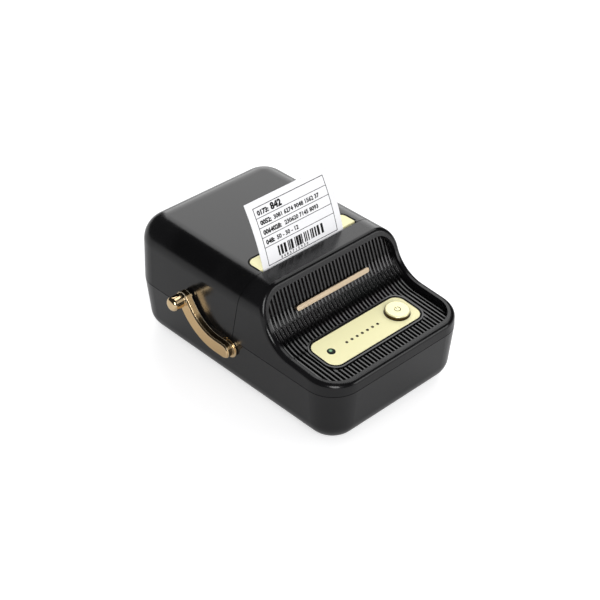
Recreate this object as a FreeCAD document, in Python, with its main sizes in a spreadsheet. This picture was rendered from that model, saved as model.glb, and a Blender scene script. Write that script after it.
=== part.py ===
import FreeCAD, Part
import math
import os
import re

import Sketcher
from FreeCAD import Placement, Rotation, Vector

# Pocket label printer: +X right, +Y back, +Z up, millimetres.
# The origin lies on the table, under the middle of the casing.

sizes = {
    # Casing
    "body_width": 88.0,
    "body_length": 138.4,
    "body_height": 63.2,
    "parting_height": 29.5,
    "corner_radius": 15.2,
    "top_radius": 12.9,
    "bottom_radius": 10.0,
    "upper_draft": 2.0,
    "base_draft": 5.2,
    "wall": 2.2,
    "base_floor": 2.4,
    "seam_offset": 3.9,
    "seam_lean": 10.0,
    # Clearances
    "seam_gap": 0.3,
    "run_gap": 0.3,
    "seat_gap": 0.1,
    "fit_gap": 0.05,
    # Scooped front with its ribbed grille
    "strip_depth": 10.46,
    "scoop_steep": 69.0,
    "scoop_radius": 18.0,
    "deck_height": 35.4,
    "deck_slope": 5.0,
    "rim_round": 2.2,
    "rim_width": 3.3,
    "grille_depth": 4.2,
    "scoop_wall": 1.2,
    "crest_depth": 2.7,
    "rib_height": 1.0,
    "rib_pitch": 2.16,
    "rib_width": 1.1,
    # Control plate, power button and lamp
    "plate_margin": 15.0,
    "plate_depth": 18.0,
    "plate_radius": 5.0,
    "plate_thickness": 1.0,
    "plate_inset": 22.7,
    "plate_sink": 0.2,
    "border_width": 1.7,
    "border_rise": 0.7,
    "button_inset": 8.95,
    "button_radius": 6.0,
    "button_rise": 2.0,
    "button_round": 0.7,
    "button_travel": 0.6,
    "button_stem": 2.0,
    "lamp_inset": 6.65,
    "lamp_radius": 1.5,
    "lamp_rise": 0.15,
    # Plain name bar on the grille
    "bar_margin": 21.0,
    "bar_width": 2.4,
    "bar_thickness": 1.2,
    "bar_angle": 64.0,
    # Tear plate and paper slot
    "tear_margin": 0.55,
    "tear_depth": 9.6,
    "tear_radius": 4.0,
    "tear_sink": 0.1,
    "slot_width": 1.5,
    # Label stock
    "label_margin": 19.0,
    "label_shift": 3.5,
    "label_thickness": 0.2,
    "lean_step": 7.0,
    "label_curl": 109.0,
    "label_rise": 28.0,
    "label_start": 3.0,
    "label_gap": 0.35,
    "roll_radius": 22.5,
    "roll_rear": 37.2,
    "roll_height": 31.5,
    "core_radius": 14.5,
    "core_wall": 1.8,
    "cradle_top": 19.0,
    "cradle_lip": 14.0,
    "cradle_length": 48.0,
    "cradle_cheek": 2.0,
    # Platen, print head and feed gears
    "nip_drop": 9.0,
    "platen_radius": 5.0,
    "platen_room": 0.5,
    "shaft_radius": 2.0,
    "bush_radius": 3.0,
    "bush_width": 2.0,
    "slot_flare": 0.4,
    "paper_room": 0.7,
    "arm_thickness": 1.6,
    "arm_radius": 3.5,
    "bracket_thickness": 2.0,
    "bracket_depth": 15.0,
    "head_thickness": 0.8,
    "head_height": 8.0,
    "head_overhang": 1.5,
    "sink_thickness": 2.5,
    "sink_height": 9.0,
    "spring_gap": 1.3,
    "spring_sheet": 0.4,
    "bush_room": 1.0,
    "cheek_depth": 16.0,
    "cheek_top": 2.0,
    "sheet": 0.8,
    "mech_seat": 23.5,
    "mech_forward": 16.0,
    "flange_width": 8.0,
    "gear_module": 0.5,
    "platen_teeth": 20,
    "idler_teeth": 24,
    "pinion_teeth": 10,
    "gear_width": 2.4,
    "gear_offset": 0.8,
    "backlash": 0.12,
    "pinion_angle": 25.0,
    "stud_radius": 1.2,
    "motor_radius": 7.5,
    "motor_length": 18.5,
    "motor_shaft": 1.0,
    "motor_bevel": 0.8,
    # Side lever and the arm that pushes the lid up
    "lever_forward": 2.2,
    "lever_drop": 5.3,
    "lever_travel": 28.0,
    "lever_shaft": 1.75,
    "lever_width": 7.6,
    "lever_thickness": 3.4,
    "lever_stand": 1.2,
    "lever_straight": 5.2,
    "lever_bend": 24.0,
    "lever_sweep": 52.0,
    "lever_reach": 6.4,
    "lever_bevel": 0.7,
    "knob_radius": 3.5,
    "knob_length": 10.2,
    "knob_round": 1.8,
    "knob_groove": 0.5,
    "bush_flange": 5.0,
    "bush_step": 4.0,
    "bush_spigot": 2.4,
    "flange_thickness": 0.5,
    "release_length": 15.0,
    "release_droop": 8.0,
    "release_width": 3.0,
    # Lid hinge
    "hinge_radius": 2.2,
    "pin_radius": 1.0,
    "hinge_margin": 16.0,
    "knuckle_inset": 9.0,
    "knuckle_width": 10.0,
    # Electronics
    "board_margin": 16.0,
    "board_depth": 35.0,
    "board_inset": 26.7,
    "board_height": 22.0,
    "board_thickness": 1.6,
    "switch_width": 6.0,
    "switch_height": 4.3,
    "led_height": 1.2,
    "socket_inset": 24.7,
    "socket_width": 9.0,
    "socket_height": 3.2,
    "socket_length": 7.3,
    "socket_skin": 0.35,
    "battery_width": 36.0,
    "battery_depth": 28.0,
    "battery_height": 9.5,
    "battery_inset": 28.2,
    "battery_round": 2.0,
    # Posts, screws and feet
    "post_radius": 3.2,
    "front_post_margin": 12.5,
    "front_post_inset": 16.2,
    "rear_post_margin": 10.5,
    "rear_post_gap": 12.75,
    "screw_radius": 1.25,
    "head_radius": 2.4,
    "screw_head": 2.0,
    "screw_sink": 8.0,
    "screw_bite": 2.4,
    "small_screw": 0.9,
    "small_head": 1.7,
    "small_cap": 1.2,
    "small_bite": 5.0,
    "board_post": 2.4,
    "foot_height": 0.8,
    "foot_margin": 16.0,
    "foot_inset": 17.2,
    "foot_radius": 12.0,
    "foot_band": 5.0,
}

# Names that follow from the sizes above
follows = {
    "seam_reach": "seam_offset + (body_height - parting_height) * tan(seam_lean)",
    "scoop_top": "seam_reach + strip_depth",
    "label_lean": "90 - scoop_steep - lean_step",
    "label_width": "body_width - 2 * label_margin",
    "arm_inner": "label_width / 2 + label_shift + paper_room",
    "cheek_inner": "arm_inner + arm_thickness + bush_room",
    "platen_width": "2 * (arm_inner - platen_room)",
    "tear_width": "2 * (arm_inner + tear_margin)",
    "plate_width": "body_width - 2 * plate_margin",
    "plate_forward": "body_length / 2 - plate_inset",
    "button_offset": "plate_width / 2 - button_inset",
    "lamp_offset": "plate_width / 2 - lamp_inset",
    "bar_length": "body_width - 2 * bar_margin",
    "hinge_span": "body_width - 2 * hinge_margin",
    "knuckle_middle": "hinge_span / 2 - knuckle_inset",
    "board_width": "body_width - 2 * board_margin",
    "board_forward": "body_length / 2 - board_inset",
    "socket_forward": "body_length / 2 - socket_inset",
    "battery_forward": "body_length / 2 - battery_inset",
    "front_post_side": "body_width / 2 - front_post_margin",
    "front_post_ahead": "body_length / 2 - front_post_inset",
    "rear_post_side": "body_width / 2 - rear_post_margin",
    "rear_post_ahead": "mech_forward + rear_post_gap",
    "foot_width": "body_width - 2 * foot_margin",
    "foot_length": "body_length - 2 * foot_inset",
}

doc = FreeCAD.newDocument("LabelPrinter")
sheet = doc.addObject("Spreadsheet::Sheet", "Sizes")
for row, (name, number) in enumerate(sizes.items(), start=1):
    sheet.set(f"A{row}", name)
    sheet.set(f"B{row}", str(number))
    sheet.setAlias(f"B{row}", name)
doc.recompute()

pieces = []


def cells(text):
    """The expression with each named size pointed at its cell, and each following name spelled out."""
    def point(word):
        if word[0] in follows:
            return f"({cells(follows[word[0]])})"
        return f"Sizes.{word[0]}" if word[0] in sizes else word[0]
    return re.sub(r"\b[a-z_]+\b", point, str(text))


def value(text):
    return float(sheet.evalExpression(cells(text)))


def bind(item, **sizes_of):
    for prop, text in sizes_of.items():
        item.setExpression(prop, cells(text))
    return item


# A frame is a place on the middle plane and a turn about X, each an expression.
world = ("0", "0", "0")


def place(item, x, y, z, frame=world, turn=Rotation()):
    """Put an item at a point of a frame, turned with it."""
    ahead, high, angle = frame
    about = Rotation(Vector(1, 0, 0), value(angle))
    item.Placement = Placement(Vector(), about.multiply(turn))
    item.setExpression(".Placement.Base.x", cells(x))
    item.setExpression(
        ".Placement.Base.y", cells(f"({ahead}) + ({y}) * cos({angle}) - ({z}) * sin({angle})"))
    item.setExpression(
        ".Placement.Base.z", cells(f"({high}) + ({y}) * sin({angle}) + ({z}) * cos({angle})"))
    return item


def box(name, x, y, z, frame=world):
    """A block between two bounds on each axis of a frame."""
    item = doc.addObject("Part::Box", name)
    length, width, height = (f"({end}) - ({start})" for start, end in (x, y, z))
    bind(item, Length=length, Width=width, Height=height)
    return place(item, x[0], y[0], z[0], frame)


def rod(name, radius, x, y, z, frame=world):
    """A cylinder along X."""
    item = doc.addObject("Part::Cylinder", name)
    bind(item, Radius=radius, Height=f"({x[1]}) - ({x[0]})")
    return place(item, x[0], y, z, frame, Rotation(Vector(0, 1, 0), 90))


def post(name, radius, x, y, z, frame=world):
    """A cylinder along the frame's own Z."""
    item = doc.addObject("Part::Cylinder", name)
    bind(item, Radius=radius, Height=f"({z[1]}) - ({z[0]})")
    return place(item, x, y, z[0], frame)


def fuse(name, *items):
    item = doc.addObject("Part::MultiFuse", name)
    item.Shapes = list(items)
    return item


def cut(name, base, *tools):
    item = doc.addObject("Part::Cut", name)
    item.Base = base
    item.Tool = tools[0] if len(tools) == 1 else fuse(f"{name}_tools", *tools)
    return item


def common(name, first, second):
    item = doc.addObject("Part::Common", name)
    item.Base = first
    item.Tool = second
    return item


def group(name, *items):
    item = doc.addObject("Part::Compound", name)
    item.Links = list(items)
    return item


def soften(name, base, size, wanted, kind="Part::Fillet"):
    """Round or bevel the edges that a test picks out."""
    doc.recompute()
    amount = value(size)
    item = doc.addObject(kind, name)
    item.Base = base
    edges = enumerate(base.Shape.Edges, start=1)
    item.Edges = [(i, amount, amount) for i, edge in edges if wanted(edge)]
    return item


def piece(item, name):
    item.Label = name
    pieces.append(item)
    return item


def plane(body, role):
    return next(flat for flat in body.Origin.OriginFeatures if flat.Role == role)


def new_sketch(body, name, role, offset="0"):
    sketch = body.newObject("Sketcher::SketchObject", name)
    sketch.AttachmentSupport = [(plane(body, role), "")]
    sketch.MapMode = "FlatFace"
    sketch.setExpression(".AttachmentOffset.Base.z", cells(offset))
    return sketch


def dimension(sketch, kind, *where_and_text):
    *where, text = where_and_text
    index = sketch.addConstraint(Sketcher.Constraint(kind, *where, value(text)))
    sketch.setExpression(f"Constraints[{index}]", cells(text))


def rounded_rectangle(sketch, width, length, radius):
    """A rectangle with four equal tangent corners, centred on the sketch's origin."""
    x, y, r = value(width) / 2, value(length) / 2, value(radius)
    middles = [(x - r, r - y), (x - r, y - r), (r - x, y - r), (r - x, r - y)]
    arcs = []
    for quarter, (u, v) in enumerate(middles):
        start = (quarter - 1) * math.pi / 2
        circle = Part.Circle(Vector(u, v, 0), Vector(0, 0, 1), r)
        arcs.append(sketch.addGeometry(Part.ArcOfCircle(circle, start, start + math.pi / 2), False))
    ends = [
        ((x, r - y), (x, y - r)), ((x - r, y), (r - x, y)),
        ((-x, y - r), (-x, r - y)), ((r - x, -y), (x - r, -y))]
    sides = [sketch.addGeometry(Part.LineSegment(Vector(*a), Vector(*b)), False) for a, b in ends]
    for i in range(4):
        sketch.addConstraint(Sketcher.Constraint("Tangent", arcs[i], 2, sides[i], 1))
        sketch.addConstraint(Sketcher.Constraint("Tangent", sides[i], 2, arcs[(i + 1) % 4], 1))
        sketch.addConstraint(Sketcher.Constraint("Vertical" if i % 2 == 0 else "Horizontal", sides[i]))
    for arc in arcs[1:]:
        sketch.addConstraint(Sketcher.Constraint("Equal", arcs[0], arc))
    dimension(sketch, "Radius", arcs[0], radius)
    dimension(sketch, "DistanceX", -1, 1, sides[0], 1, f"({width}) / 2")
    dimension(sketch, "DistanceX", sides[2], 1, -1, 1, f"({width}) / 2")
    dimension(sketch, "DistanceY", -1, 1, sides[1], 1, f"({length}) / 2")
    dimension(sketch, "DistanceY", sides[3], 1, -1, 1, f"({length}) / 2")


def polygon(sketch, corners):
    """A closed outline of straight runs, each corner given by two expressions."""
    places = [(value(u), value(v)) for u, v in corners]
    count = len(places)
    ends = zip(places, places[1:] + places[:1])
    runs = [sketch.addGeometry(Part.LineSegment(Vector(*a), Vector(*b)), False) for a, b in ends]
    for i, (u, v) in enumerate(corners):
        sketch.addConstraint(Sketcher.Constraint("Coincident", runs[i], 2, runs[(i + 1) % count], 1))
        dimension(sketch, "DistanceX", -1, 1, runs[i], 1, u)
        dimension(sketch, "DistanceY", -1, 1, runs[i], 1, v)


def pad(body, sketch, length, both_ways=False, down=False, taper="0"):
    feature = body.newObject("PartDesign::Pad", f"{sketch.Name}_pad")
    feature.Profile = sketch
    feature.Midplane = both_ways
    feature.Reversed = down
    bind(feature, Length=length, TaperAngle=taper)
    return feature


def round_feature(body, feature, radius, wanted):
    doc.recompute()
    item = body.newObject("PartDesign::Fillet", f"{feature.Name}_round")
    edges = enumerate(feature.Shape.Edges, start=1)
    item.Base = (feature, [f"Edge{i}" for i, edge in edges if wanted(edge)])
    bind(item, Radius=radius)
    return item


def level(height):
    """A test for edges that lie flat at one height."""
    z = value(height)
    return lambda edge: all(abs(corner.Z - z) < 1e-6 for corner in edge.Vertexes)


def casing_block(name, inset, start, end, draft, end_radius):
    """The casing's rounded plan, drawn in by an inset and tapered from one height to another."""
    body = doc.addObject("PartDesign::Body", name)
    sketch = new_sketch(body, f"{name}_plan", "XY_Plane", start)
    width, length = (f"{size} - 2 * ({inset})" for size in ("body_width", "body_length"))
    rounded_rectangle(sketch, width, length, f"corner_radius - ({inset})")
    rises = value(end) > value(start)
    height = f"({end}) - ({start})" if rises else f"({start}) - ({end})"
    block = pad(body, sketch, height, down=not rises, taper=f"0 - {draft}")
    round_feature(body, block, end_radius, level(end))
    return body


def rounded_slab(name, width, length, radius, z, frame):
    """A plate with rounded corners between two heights of a frame."""
    body = doc.addObject("PartDesign::Body", name)
    sketch = new_sketch(body, f"{name}_plan", "XY_Plane", z[0])
    rounded_rectangle(sketch, width, length, radius)
    pad(body, sketch, f"({z[1]}) - ({z[0]})")
    return place(body, "0", "0", "0", frame)


# Lines that several pieces share

half_width = "body_width / 2"
half_length = "body_length / 2"
floor_top = "foot_height + base_floor"
upper_start = "parting_height + seam_gap"
ceiling = "body_height - wall"
seam_top = "(0 - seam_reach)"
tear_front = f"({seam_top} + slot_width)"
tear_back = f"({tear_front} + tear_depth)"
paper_top = f"({tear_front} - label_gap)"
nip = (f"{paper_top} - nip_drop * tan(label_lean)", "body_height - nip_drop", "0 - label_lean")
platen_behind = "platen_radius + seat_gap"
platen_y = f"({nip[0]} + ({platen_behind}) * cos(label_lean))"
platen_z = f"({nip[1]} - ({platen_behind}) * sin(label_lean))"
hinge_y = f"({half_length} - hinge_radius)"
hinge_z = "(parting_height + seam_gap + hinge_radius)"
lever_y = "(0 - lever_forward)"
lever_z = "(parting_height - lever_drop)"
roll_y = f"({half_length} - roll_rear)"
deck = ("0 - plate_forward", "deck_height + plate_inset * tan(deck_slope)", "deck_slope")
border_top = "(border_rise - crest_depth)"
plate_top = f"({border_top} - plate_sink)"
plate_bottom = f"({plate_top} - plate_thickness)"
board_top = "(board_height + board_thickness)"


def deck_level(y, depth="0"):
    """Height of the scoop's flat front part at a place, some depth below its surface."""
    return f"(deck_height + (({y}) + {half_length}) * tan(deck_slope) - ({depth}) / cos(deck_slope))"


def steep_line(z, depth="0"):
    """Place of the scoop's steep back part at a height, some depth below its surface."""
    return f"(0 - scoop_top - (body_height - ({z})) / tan(scoop_steep) + ({depth}) / sin(scoop_steep))"


def scoop_corner(depth):
    """Where the steep part and the flat part would meet, some depth below the surface."""
    flat = f"(deck_height + {half_length} * tan(deck_slope) - ({depth}) / cos(deck_slope))"
    y = f"(({steep_line(flat, depth)}) / (1 - tan(deck_slope) / tan(scoop_steep)))"
    return y, f"({flat} + {y} * tan(deck_slope))"


def scoop(name, depth, width="2 * body_width"):
    """The space above the scoop's surface sunk by a depth: steep back, round foot, flat front."""
    body = doc.addObject("PartDesign::Body", name)
    sketch = new_sketch(body, f"{name}_side", "YZ_Plane")
    past = "(0 - body_length)"
    above = "(2 * body_height)"
    corner_y, corner_z = scoop_corner(depth)
    polygon(sketch, [
        (corner_y, corner_z), (steep_line(above, depth), above),
        (past, above), (past, deck_level(past, depth))])
    block = pad(body, sketch, width, both_ways=True)
    foot = (value(corner_y), value(corner_z))

    def at_foot(edge):
        return all(math.hypot(v.Y - foot[0], v.Z - foot[1]) < 1e-5 for v in edge.Vertexes)
    round_feature(body, block, f"scoop_radius + ({depth})", at_foot)
    return body


def seam_side(name, shift):
    """Everything in front of the leaning seam between the front shell and the lid."""
    frame = (f"0 - seam_offset + ({shift})", "parting_height", "seam_lean")
    return box(
        name, ("0 - body_width", "body_width"), ("0 - 2 * body_length", "0"),
        ("0 - body_height", "2 * body_height"), frame)


upper_outer = casing_block(
    "upper_outer", "0", upper_start, "body_height", "upper_draft", "top_radius")
upper_inner = casing_block(
    "upper_inner", "wall", "parting_height", ceiling, "upper_draft", "top_radius - wall")
base_outer = casing_block(
    "base_outer", "0", "parting_height", "foot_height", "base_draft", "bottom_radius")

case_posts = [
    (f"{side} * {end}_post_side", f"0 - {end}_post_ahead")
    for side in (-1, 1) for end in ("front", "rear")
]
board_posts = [
    (f"{side} * (board_width / 2 - board_post - fit_gap)",
     f"0 - board_forward + {end} * (board_depth / 2 - board_post)")
    for side in (-1, 1) for end in (-1, 1)
]
mech_posts = [
    (f"{side} * (cheek_inner + sheet + flange_width / 2)", "0 - mech_forward")
    for side in (-1, 1)
]
knuckles = [(f"{side} * knuckle_middle", side) for side in (-1, 1)]
hinge_pin_run = ("0 - hinge_span / 2", "hinge_span / 2")


def base_shell():
    hollow = casing_block(
        "base_hollow", "wall", "parting_height", floor_top, "base_draft", "bottom_radius - wall")
    tray = cut("base_tray", base_outer, hollow)
    below = "foot_height + base_floor / 2"
    posts = []
    holes = []
    for i, (x, y) in enumerate(case_posts):
        posts.append(post(f"case_post{i}", "post_radius", x, y, (below, "parting_height")))
        through = ("0", "parting_height + wall")
        holes.append(post(f"case_hole{i}", "screw_radius + fit_gap", x, y, through))
        holes.append(post(f"case_sink{i}", "head_radius + run_gap", x, y, ("0", "screw_sink")))
    for i, (x, y) in enumerate(board_posts):
        bite = ("board_height - small_bite", "board_height")
        posts.append(post(f"board_post{i}", "board_post", x, y, (below, "board_height")))
        holes.append(post(f"board_bore{i}", "small_screw + fit_gap", x, y, bite))
    for i, (x, y) in enumerate(mech_posts):
        bite = ("mech_seat - small_bite", "mech_seat")
        posts.append(post(f"mech_post{i}", "post_radius", x, y, (below, "mech_seat")))
        holes.append(post(f"mech_bore{i}", "small_screw + fit_gap", x, y, bite))
    lugs = []
    for x, side in knuckles:
        run = (f"{x} - knuckle_width / 2", f"{x} + knuckle_width / 2")
        depth = (f"{hinge_y} - hinge_radius", f"{hinge_y} + hinge_radius")
        name = "left" if side < 0 else "right"
        lugs.append(rod(f"{name}_lug_barrel", "hinge_radius", run, hinge_y, hinge_z))
        lugs.append(box(f"{name}_lug_neck", run, depth, ("parting_height - wall", hinge_z)))
        root = ("parting_height - 2 * wall", "parting_height")
        posts.append(box(f"{name}_lug_root", run, depth, root))
    inside = common("base_posts", base_outer, fuse("base_post_set", *posts))
    holes.append(rod("base_pin_bore", "pin_radius + fit_gap", hinge_pin_run, hinge_y, hinge_z))
    left_wall = (f"0 - {half_width} - wall", f"2 * wall - {half_width}")
    right_wall = (f"{half_width} - 3 * wall", f"{half_width} + wall")
    holes.append(rod("base_lever_bore", "bush_spigot + fit_gap", left_wall, lever_y, lever_z))
    holes.append(socket_outline("base_socket_bore", "run_gap", right_wall))
    return piece(cut("base_shell", fuse("base_whole", tray, inside, *lugs), *holes), "base_shell")


def socket_outline(name, grow, run):
    """The connector's rounded section, grown by a clearance, along X."""
    radius = f"(socket_height / 2 + ({grow}))"
    middle = f"({board_top} + socket_height / 2)"
    reach = "(socket_width - socket_height) / 2"
    front = f"(0 - socket_forward - {reach})"
    rear = f"({reach} - socket_forward)"
    rise = (f"{middle} - {radius}", f"{middle} + {radius}")
    return fuse(
        name,
        box(f"{name}_flat", run, (front, rear), rise),
        rod(f"{name}_front", radius, run, front, middle),
        rod(f"{name}_rear", radius, run, rear, middle))


def scoop_rim(shape, surface):
    """The closed loop of edges between the scoop's faces and the outer faces."""
    def touches(face):
        u0, u1, v0, v1 = face.ParameterRange
        inner = face.valueAt((u0 + u1) / 2, (v0 + v1) / 2)
        return surface.distToShape(Part.Vertex(inner))[0] < 1e-4
    scooped = [face.hashCode() for face in shape.Faces if touches(face)]

    def wanted(edge):
        around = shape.ancestorsOfType(edge, Part.Face)
        return sum(face.hashCode() in scooped for face in around) == 1
    return wanted


def front_shell():
    blank = common("front_blank", upper_outer, seam_side("front_side", "0 - seam_gap / 2"))
    surface = scoop("scoop_surface", "0")
    scooped = cut("front_scooped", blank, surface)
    doc.recompute()
    skin = Part.makeShell([face for face in surface.Shape.Faces if abs(face.normalAt(0, 0).x) < 0.5])
    rimmed = soften("front_rimmed", scooped, "rim_round", scoop_rim(scooped.Shape, skin))
    inset = casing_block(
        "recess_block", "rim_width", "parting_height", "body_height - rim_width",
        "upper_draft", "top_radius - rim_width")
    recess = common("grille_recess", inset, scoop("recess_depth", "grille_depth"))
    hollow = cut("front_hollow", upper_inner, scoop("hollow_depth", "grille_depth + scoop_wall"))
    shell = cut("front_walls", rimmed, recess, hollow)
    posts = []
    holes = []
    for i, (x, y) in enumerate(case_posts):
        posts.append(post(f"front_post{i}", "post_radius", x, y, ("parting_height", "body_height")))
        bite = ("0", "parting_height + screw_bite + run_gap")
        holes.append(post(f"front_bore{i}", "screw_radius + fit_gap", x, y, bite))
    over_posts = scoop("post_depth", "grille_depth + scoop_wall / 2")
    stubs = cut("front_stubs", fuse("front_posts", *posts), over_posts)
    deep = ("0 - body_height / 2", "0")
    holes.append(post("front_button_bore", "button_stem + run_gap", "button_offset", "0", deep, deck))
    holes.append(post("front_lamp_bore", "lamp_radius + run_gap", "0 - lamp_offset", "0", deep, deck))
    return piece(cut("front_shell", fuse("front_whole", shell, stubs), *holes), "front_shell")


def grille_panel():
    """Ribs that run from the top edge round the scoop to the front, with a raised bed for the plate."""
    inset = casing_block(
        "panel_block", "rim_width + seat_gap", "parting_height", "body_height - rim_width - seat_gap",
        "upper_draft", "top_radius - rim_width - seat_gap")
    back = scoop("panel_back", "grille_depth - seat_gap")
    slab = common("panel_slab", inset, cut("panel_sheet", back, scoop("panel_crests", "crest_depth")))
    groove = scoop("groove_shape", "crest_depth + rib_height", "rib_pitch - rib_width")
    doc.recompute()
    pitch = value("rib_pitch")
    across = value("body_width - 2 * rim_width")
    count = int(across // pitch)
    grooves = doc.addObject("Part::Feature", "grille_grooves")
    grooves.Shape = Part.makeCompound([
        groove.Shape.translated(Vector((i - (count - 1) / 2) * pitch, 0, 0)) for i in range(count)])
    ribbed = cut("panel_ribbed", slab, grooves)
    bed = rounded_slab(
        "plate_bed", "plate_width + 2 * border_width", "plate_depth + 2 * border_width",
        "plate_radius + border_width", ("0 - grille_depth - wall", border_top), deck)
    whole = fuse("panel_whole", ribbed, common("plate_bed_in", bed, back))
    pocket = rounded_slab(
        "plate_pocket", "plate_width + 2 * seat_gap", "plate_depth + 2 * seat_gap",
        "plate_radius + seat_gap", (plate_bottom, "wall"), deck)
    deep = ("0 - 3 * grille_depth", "wall")
    button_bore = post("panel_button_bore", "button_stem + run_gap", "button_offset", "0", deep, deck)
    lamp_bore = post("panel_lamp_bore", "lamp_radius + seat_gap", "0 - lamp_offset", "0", deep, deck)
    return piece(cut("grille_panel", whole, pocket, button_bore, lamp_bore), "grille_panel")


def control_plate():
    slab = rounded_slab(
        "plate_slab", "plate_width", "plate_depth", "plate_radius", (plate_bottom, plate_top), deck)
    through = (f"{plate_bottom} - wall", f"{plate_top} + wall")
    round_button = "button_radius + run_gap"
    round_lamp = "lamp_radius + fit_gap"
    button_hole = post("plate_button_hole", round_button, "button_offset", "0", through, deck)
    lamp_hole = post("plate_lamp_hole", round_lamp, "0 - lamp_offset", "0", through, deck)
    return piece(cut("control_plate", slab, button_hole, lamp_hole), "control_plate")


def power_button():
    """A round cap on a stem that ends just above its switch."""
    cap_bottom = f"({plate_bottom} + button_travel + seat_gap)"
    crown = f"({plate_top} + button_rise)"
    cap = post("button_cap", "button_radius", "button_offset", "0", (cap_bottom, crown), deck)
    crown_middle = value(f"({deck[1]}) + {crown} * cos(deck_slope)")

    def at_crown(edge):
        return edge.Closed and abs(edge.CenterOfMass.z - crown_middle) < 1e-5
    rounded = soften("button_crown", cap, "button_round", at_crown)
    clear = "(button_travel + seat_gap + button_stem * tan(deck_slope))"
    stem_end = f"(({board_top} + switch_height + {clear} - ({deck[1]})) / cos(deck_slope))"
    stem_run = (stem_end, f"{cap_bottom} + button_travel")
    stem = post("button_stem_rod", "button_stem", "button_offset", "0", stem_run, deck)
    return piece(fuse("power_button", rounded, stem), "power_button")


def lamp_lens():
    """A light pipe from the lamp on the board up to the plate."""
    foot = f"((({board_top} + led_height + run_gap) - ({deck[1]})) / cos(deck_slope))"
    run = (foot, f"{plate_top} + lamp_rise")
    return piece(post("lamp_lens", "lamp_radius", "0 - lamp_offset", "0", run, deck), "lamp_lens")


def name_bar():
    """A plain rounded bar that lies on the ribs at the scoop's curve."""
    corner_y, corner_z = scoop_corner("0")
    half_turn = "((scoop_steep - deck_slope) / 2)"
    lean = "((scoop_steep + deck_slope) / 2)"
    reach = f"(scoop_radius / cos({half_turn}))"
    middle_y = f"({corner_y} - {reach} * sin({lean}))"
    middle_z = f"({corner_z} + {reach} * cos({lean}))"
    out = "(scoop_radius + crest_depth - seat_gap)"
    spot = (
        f"{middle_y} + {out} * sin(bar_angle)", f"{middle_z} - {out} * cos(bar_angle)", "bar_angle")
    half = "(bar_length / 2 - bar_width / 2)"
    thick = ("0", "bar_thickness")
    bar = fuse(
        "name_bar",
        box("bar_run", (f"0 - {half}", half), ("0 - bar_width / 2", "bar_width / 2"), thick, spot),
        post("bar_left_end", "bar_width / 2", f"0 - {half}", "0", thick, spot),
        post("bar_right_end", "bar_width / 2", half, "0", thick, spot))
    return piece(bar, "name_bar")


def tear_outline(name, grow, ahead, z):
    """The tear plate's plan, straight at the slot and rounded behind, grown by a clearance."""
    wide = f"(tear_width / 2 + ({grow}))"
    block = box(f"{name}_block", (f"0 - {wide}", wide), (ahead, f"{tear_back} + ({grow})"), z)
    behind = value(f"{tear_back} + ({grow})")

    def rear_upright(edge):
        low, high = edge.Vertexes[0], edge.Vertexes[-1]
        return abs(low.Z - high.Z) > 1e-3 and abs(low.Y - behind) < 1e-5
    return soften(name, block, f"tear_radius + ({grow})", rear_upright)


def lid_shell():
    blank = cut("lid_blank", upper_outer, seam_side("lid_side", "seam_gap / 2"))
    above = (f"{ceiling} - wall", "body_height + wall")
    notch = tear_outline("tear_notch", "seat_gap", f"{seam_top} - wall", above)
    full = ("0 - body_width", "body_width")
    behind = (hinge_y, f"{hinge_y} + 2 * hinge_radius")
    below = (f"{hinge_z} - 2 * hinge_radius", hinge_z)
    relief = cut(
        "hinge_relief", box("relief_block", full, behind, below),
        rod("relief_barrel", "hinge_radius", full, hinge_y, hinge_z))
    walls = cut("lid_walls", blank, upper_inner, notch, relief)
    barrel = rod("lid_barrel", "hinge_radius", hinge_pin_run, hinge_y, hinge_z)
    lifted = "(lever_travel - release_droop)"
    strike = f"({lever_z} + release_length * sin({lifted}) + release_width / 2 + run_gap)"
    strike_y = f"({lever_y} + release_length * cos({lifted}))"
    tab = box(
        "lid_tab", (f"0 - {half_width}", f"2.5 * wall - {half_width}"),
        (f"{strike_y} - release_width", f"{strike_y} + release_width"), (strike, f"{strike} + wall"))
    holes = [rod("lid_pin_bore", "pin_radius + fit_gap", hinge_pin_run, hinge_y, hinge_z)]
    for x, side in knuckles:
        run = (f"{x} - knuckle_width / 2 - run_gap", f"{x} + knuckle_width / 2 + run_gap")
        holes.append(box(
            "left_lid_gap" if side < 0 else "right_lid_gap", run,
            (f"{hinge_y} - 2 * hinge_radius", f"{hinge_y} + 2 * hinge_radius"),
            (f"{hinge_z} - 2 * hinge_radius", f"{hinge_z} + hinge_radius + 2 * run_gap")))
    for i, (x, y) in enumerate(bracket_screw_places):
        bite = (f"{ceiling} - wall", f"{ceiling} + 0.65 * wall")
        holes.append(post(f"lid_bore{i}", "small_screw + fit_gap", x, y, bite))
    whole = fuse("lid_whole", walls, barrel, common("lid_tab_in", upper_outer, tab))
    return piece(cut("lid_shell", whole, *holes), "lid_shell")


bracket_screw_places = [
    (f"{side} * tear_width / 4", f"{tear_back} + (bracket_depth - tear_depth) / 2") for side in (-1, 1)]


def tear_plate():
    flat = tear_outline("tear_flat", "0", tear_front, (ceiling, "body_height - tear_sink"))
    return piece(flat, "tear_plate")


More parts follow.
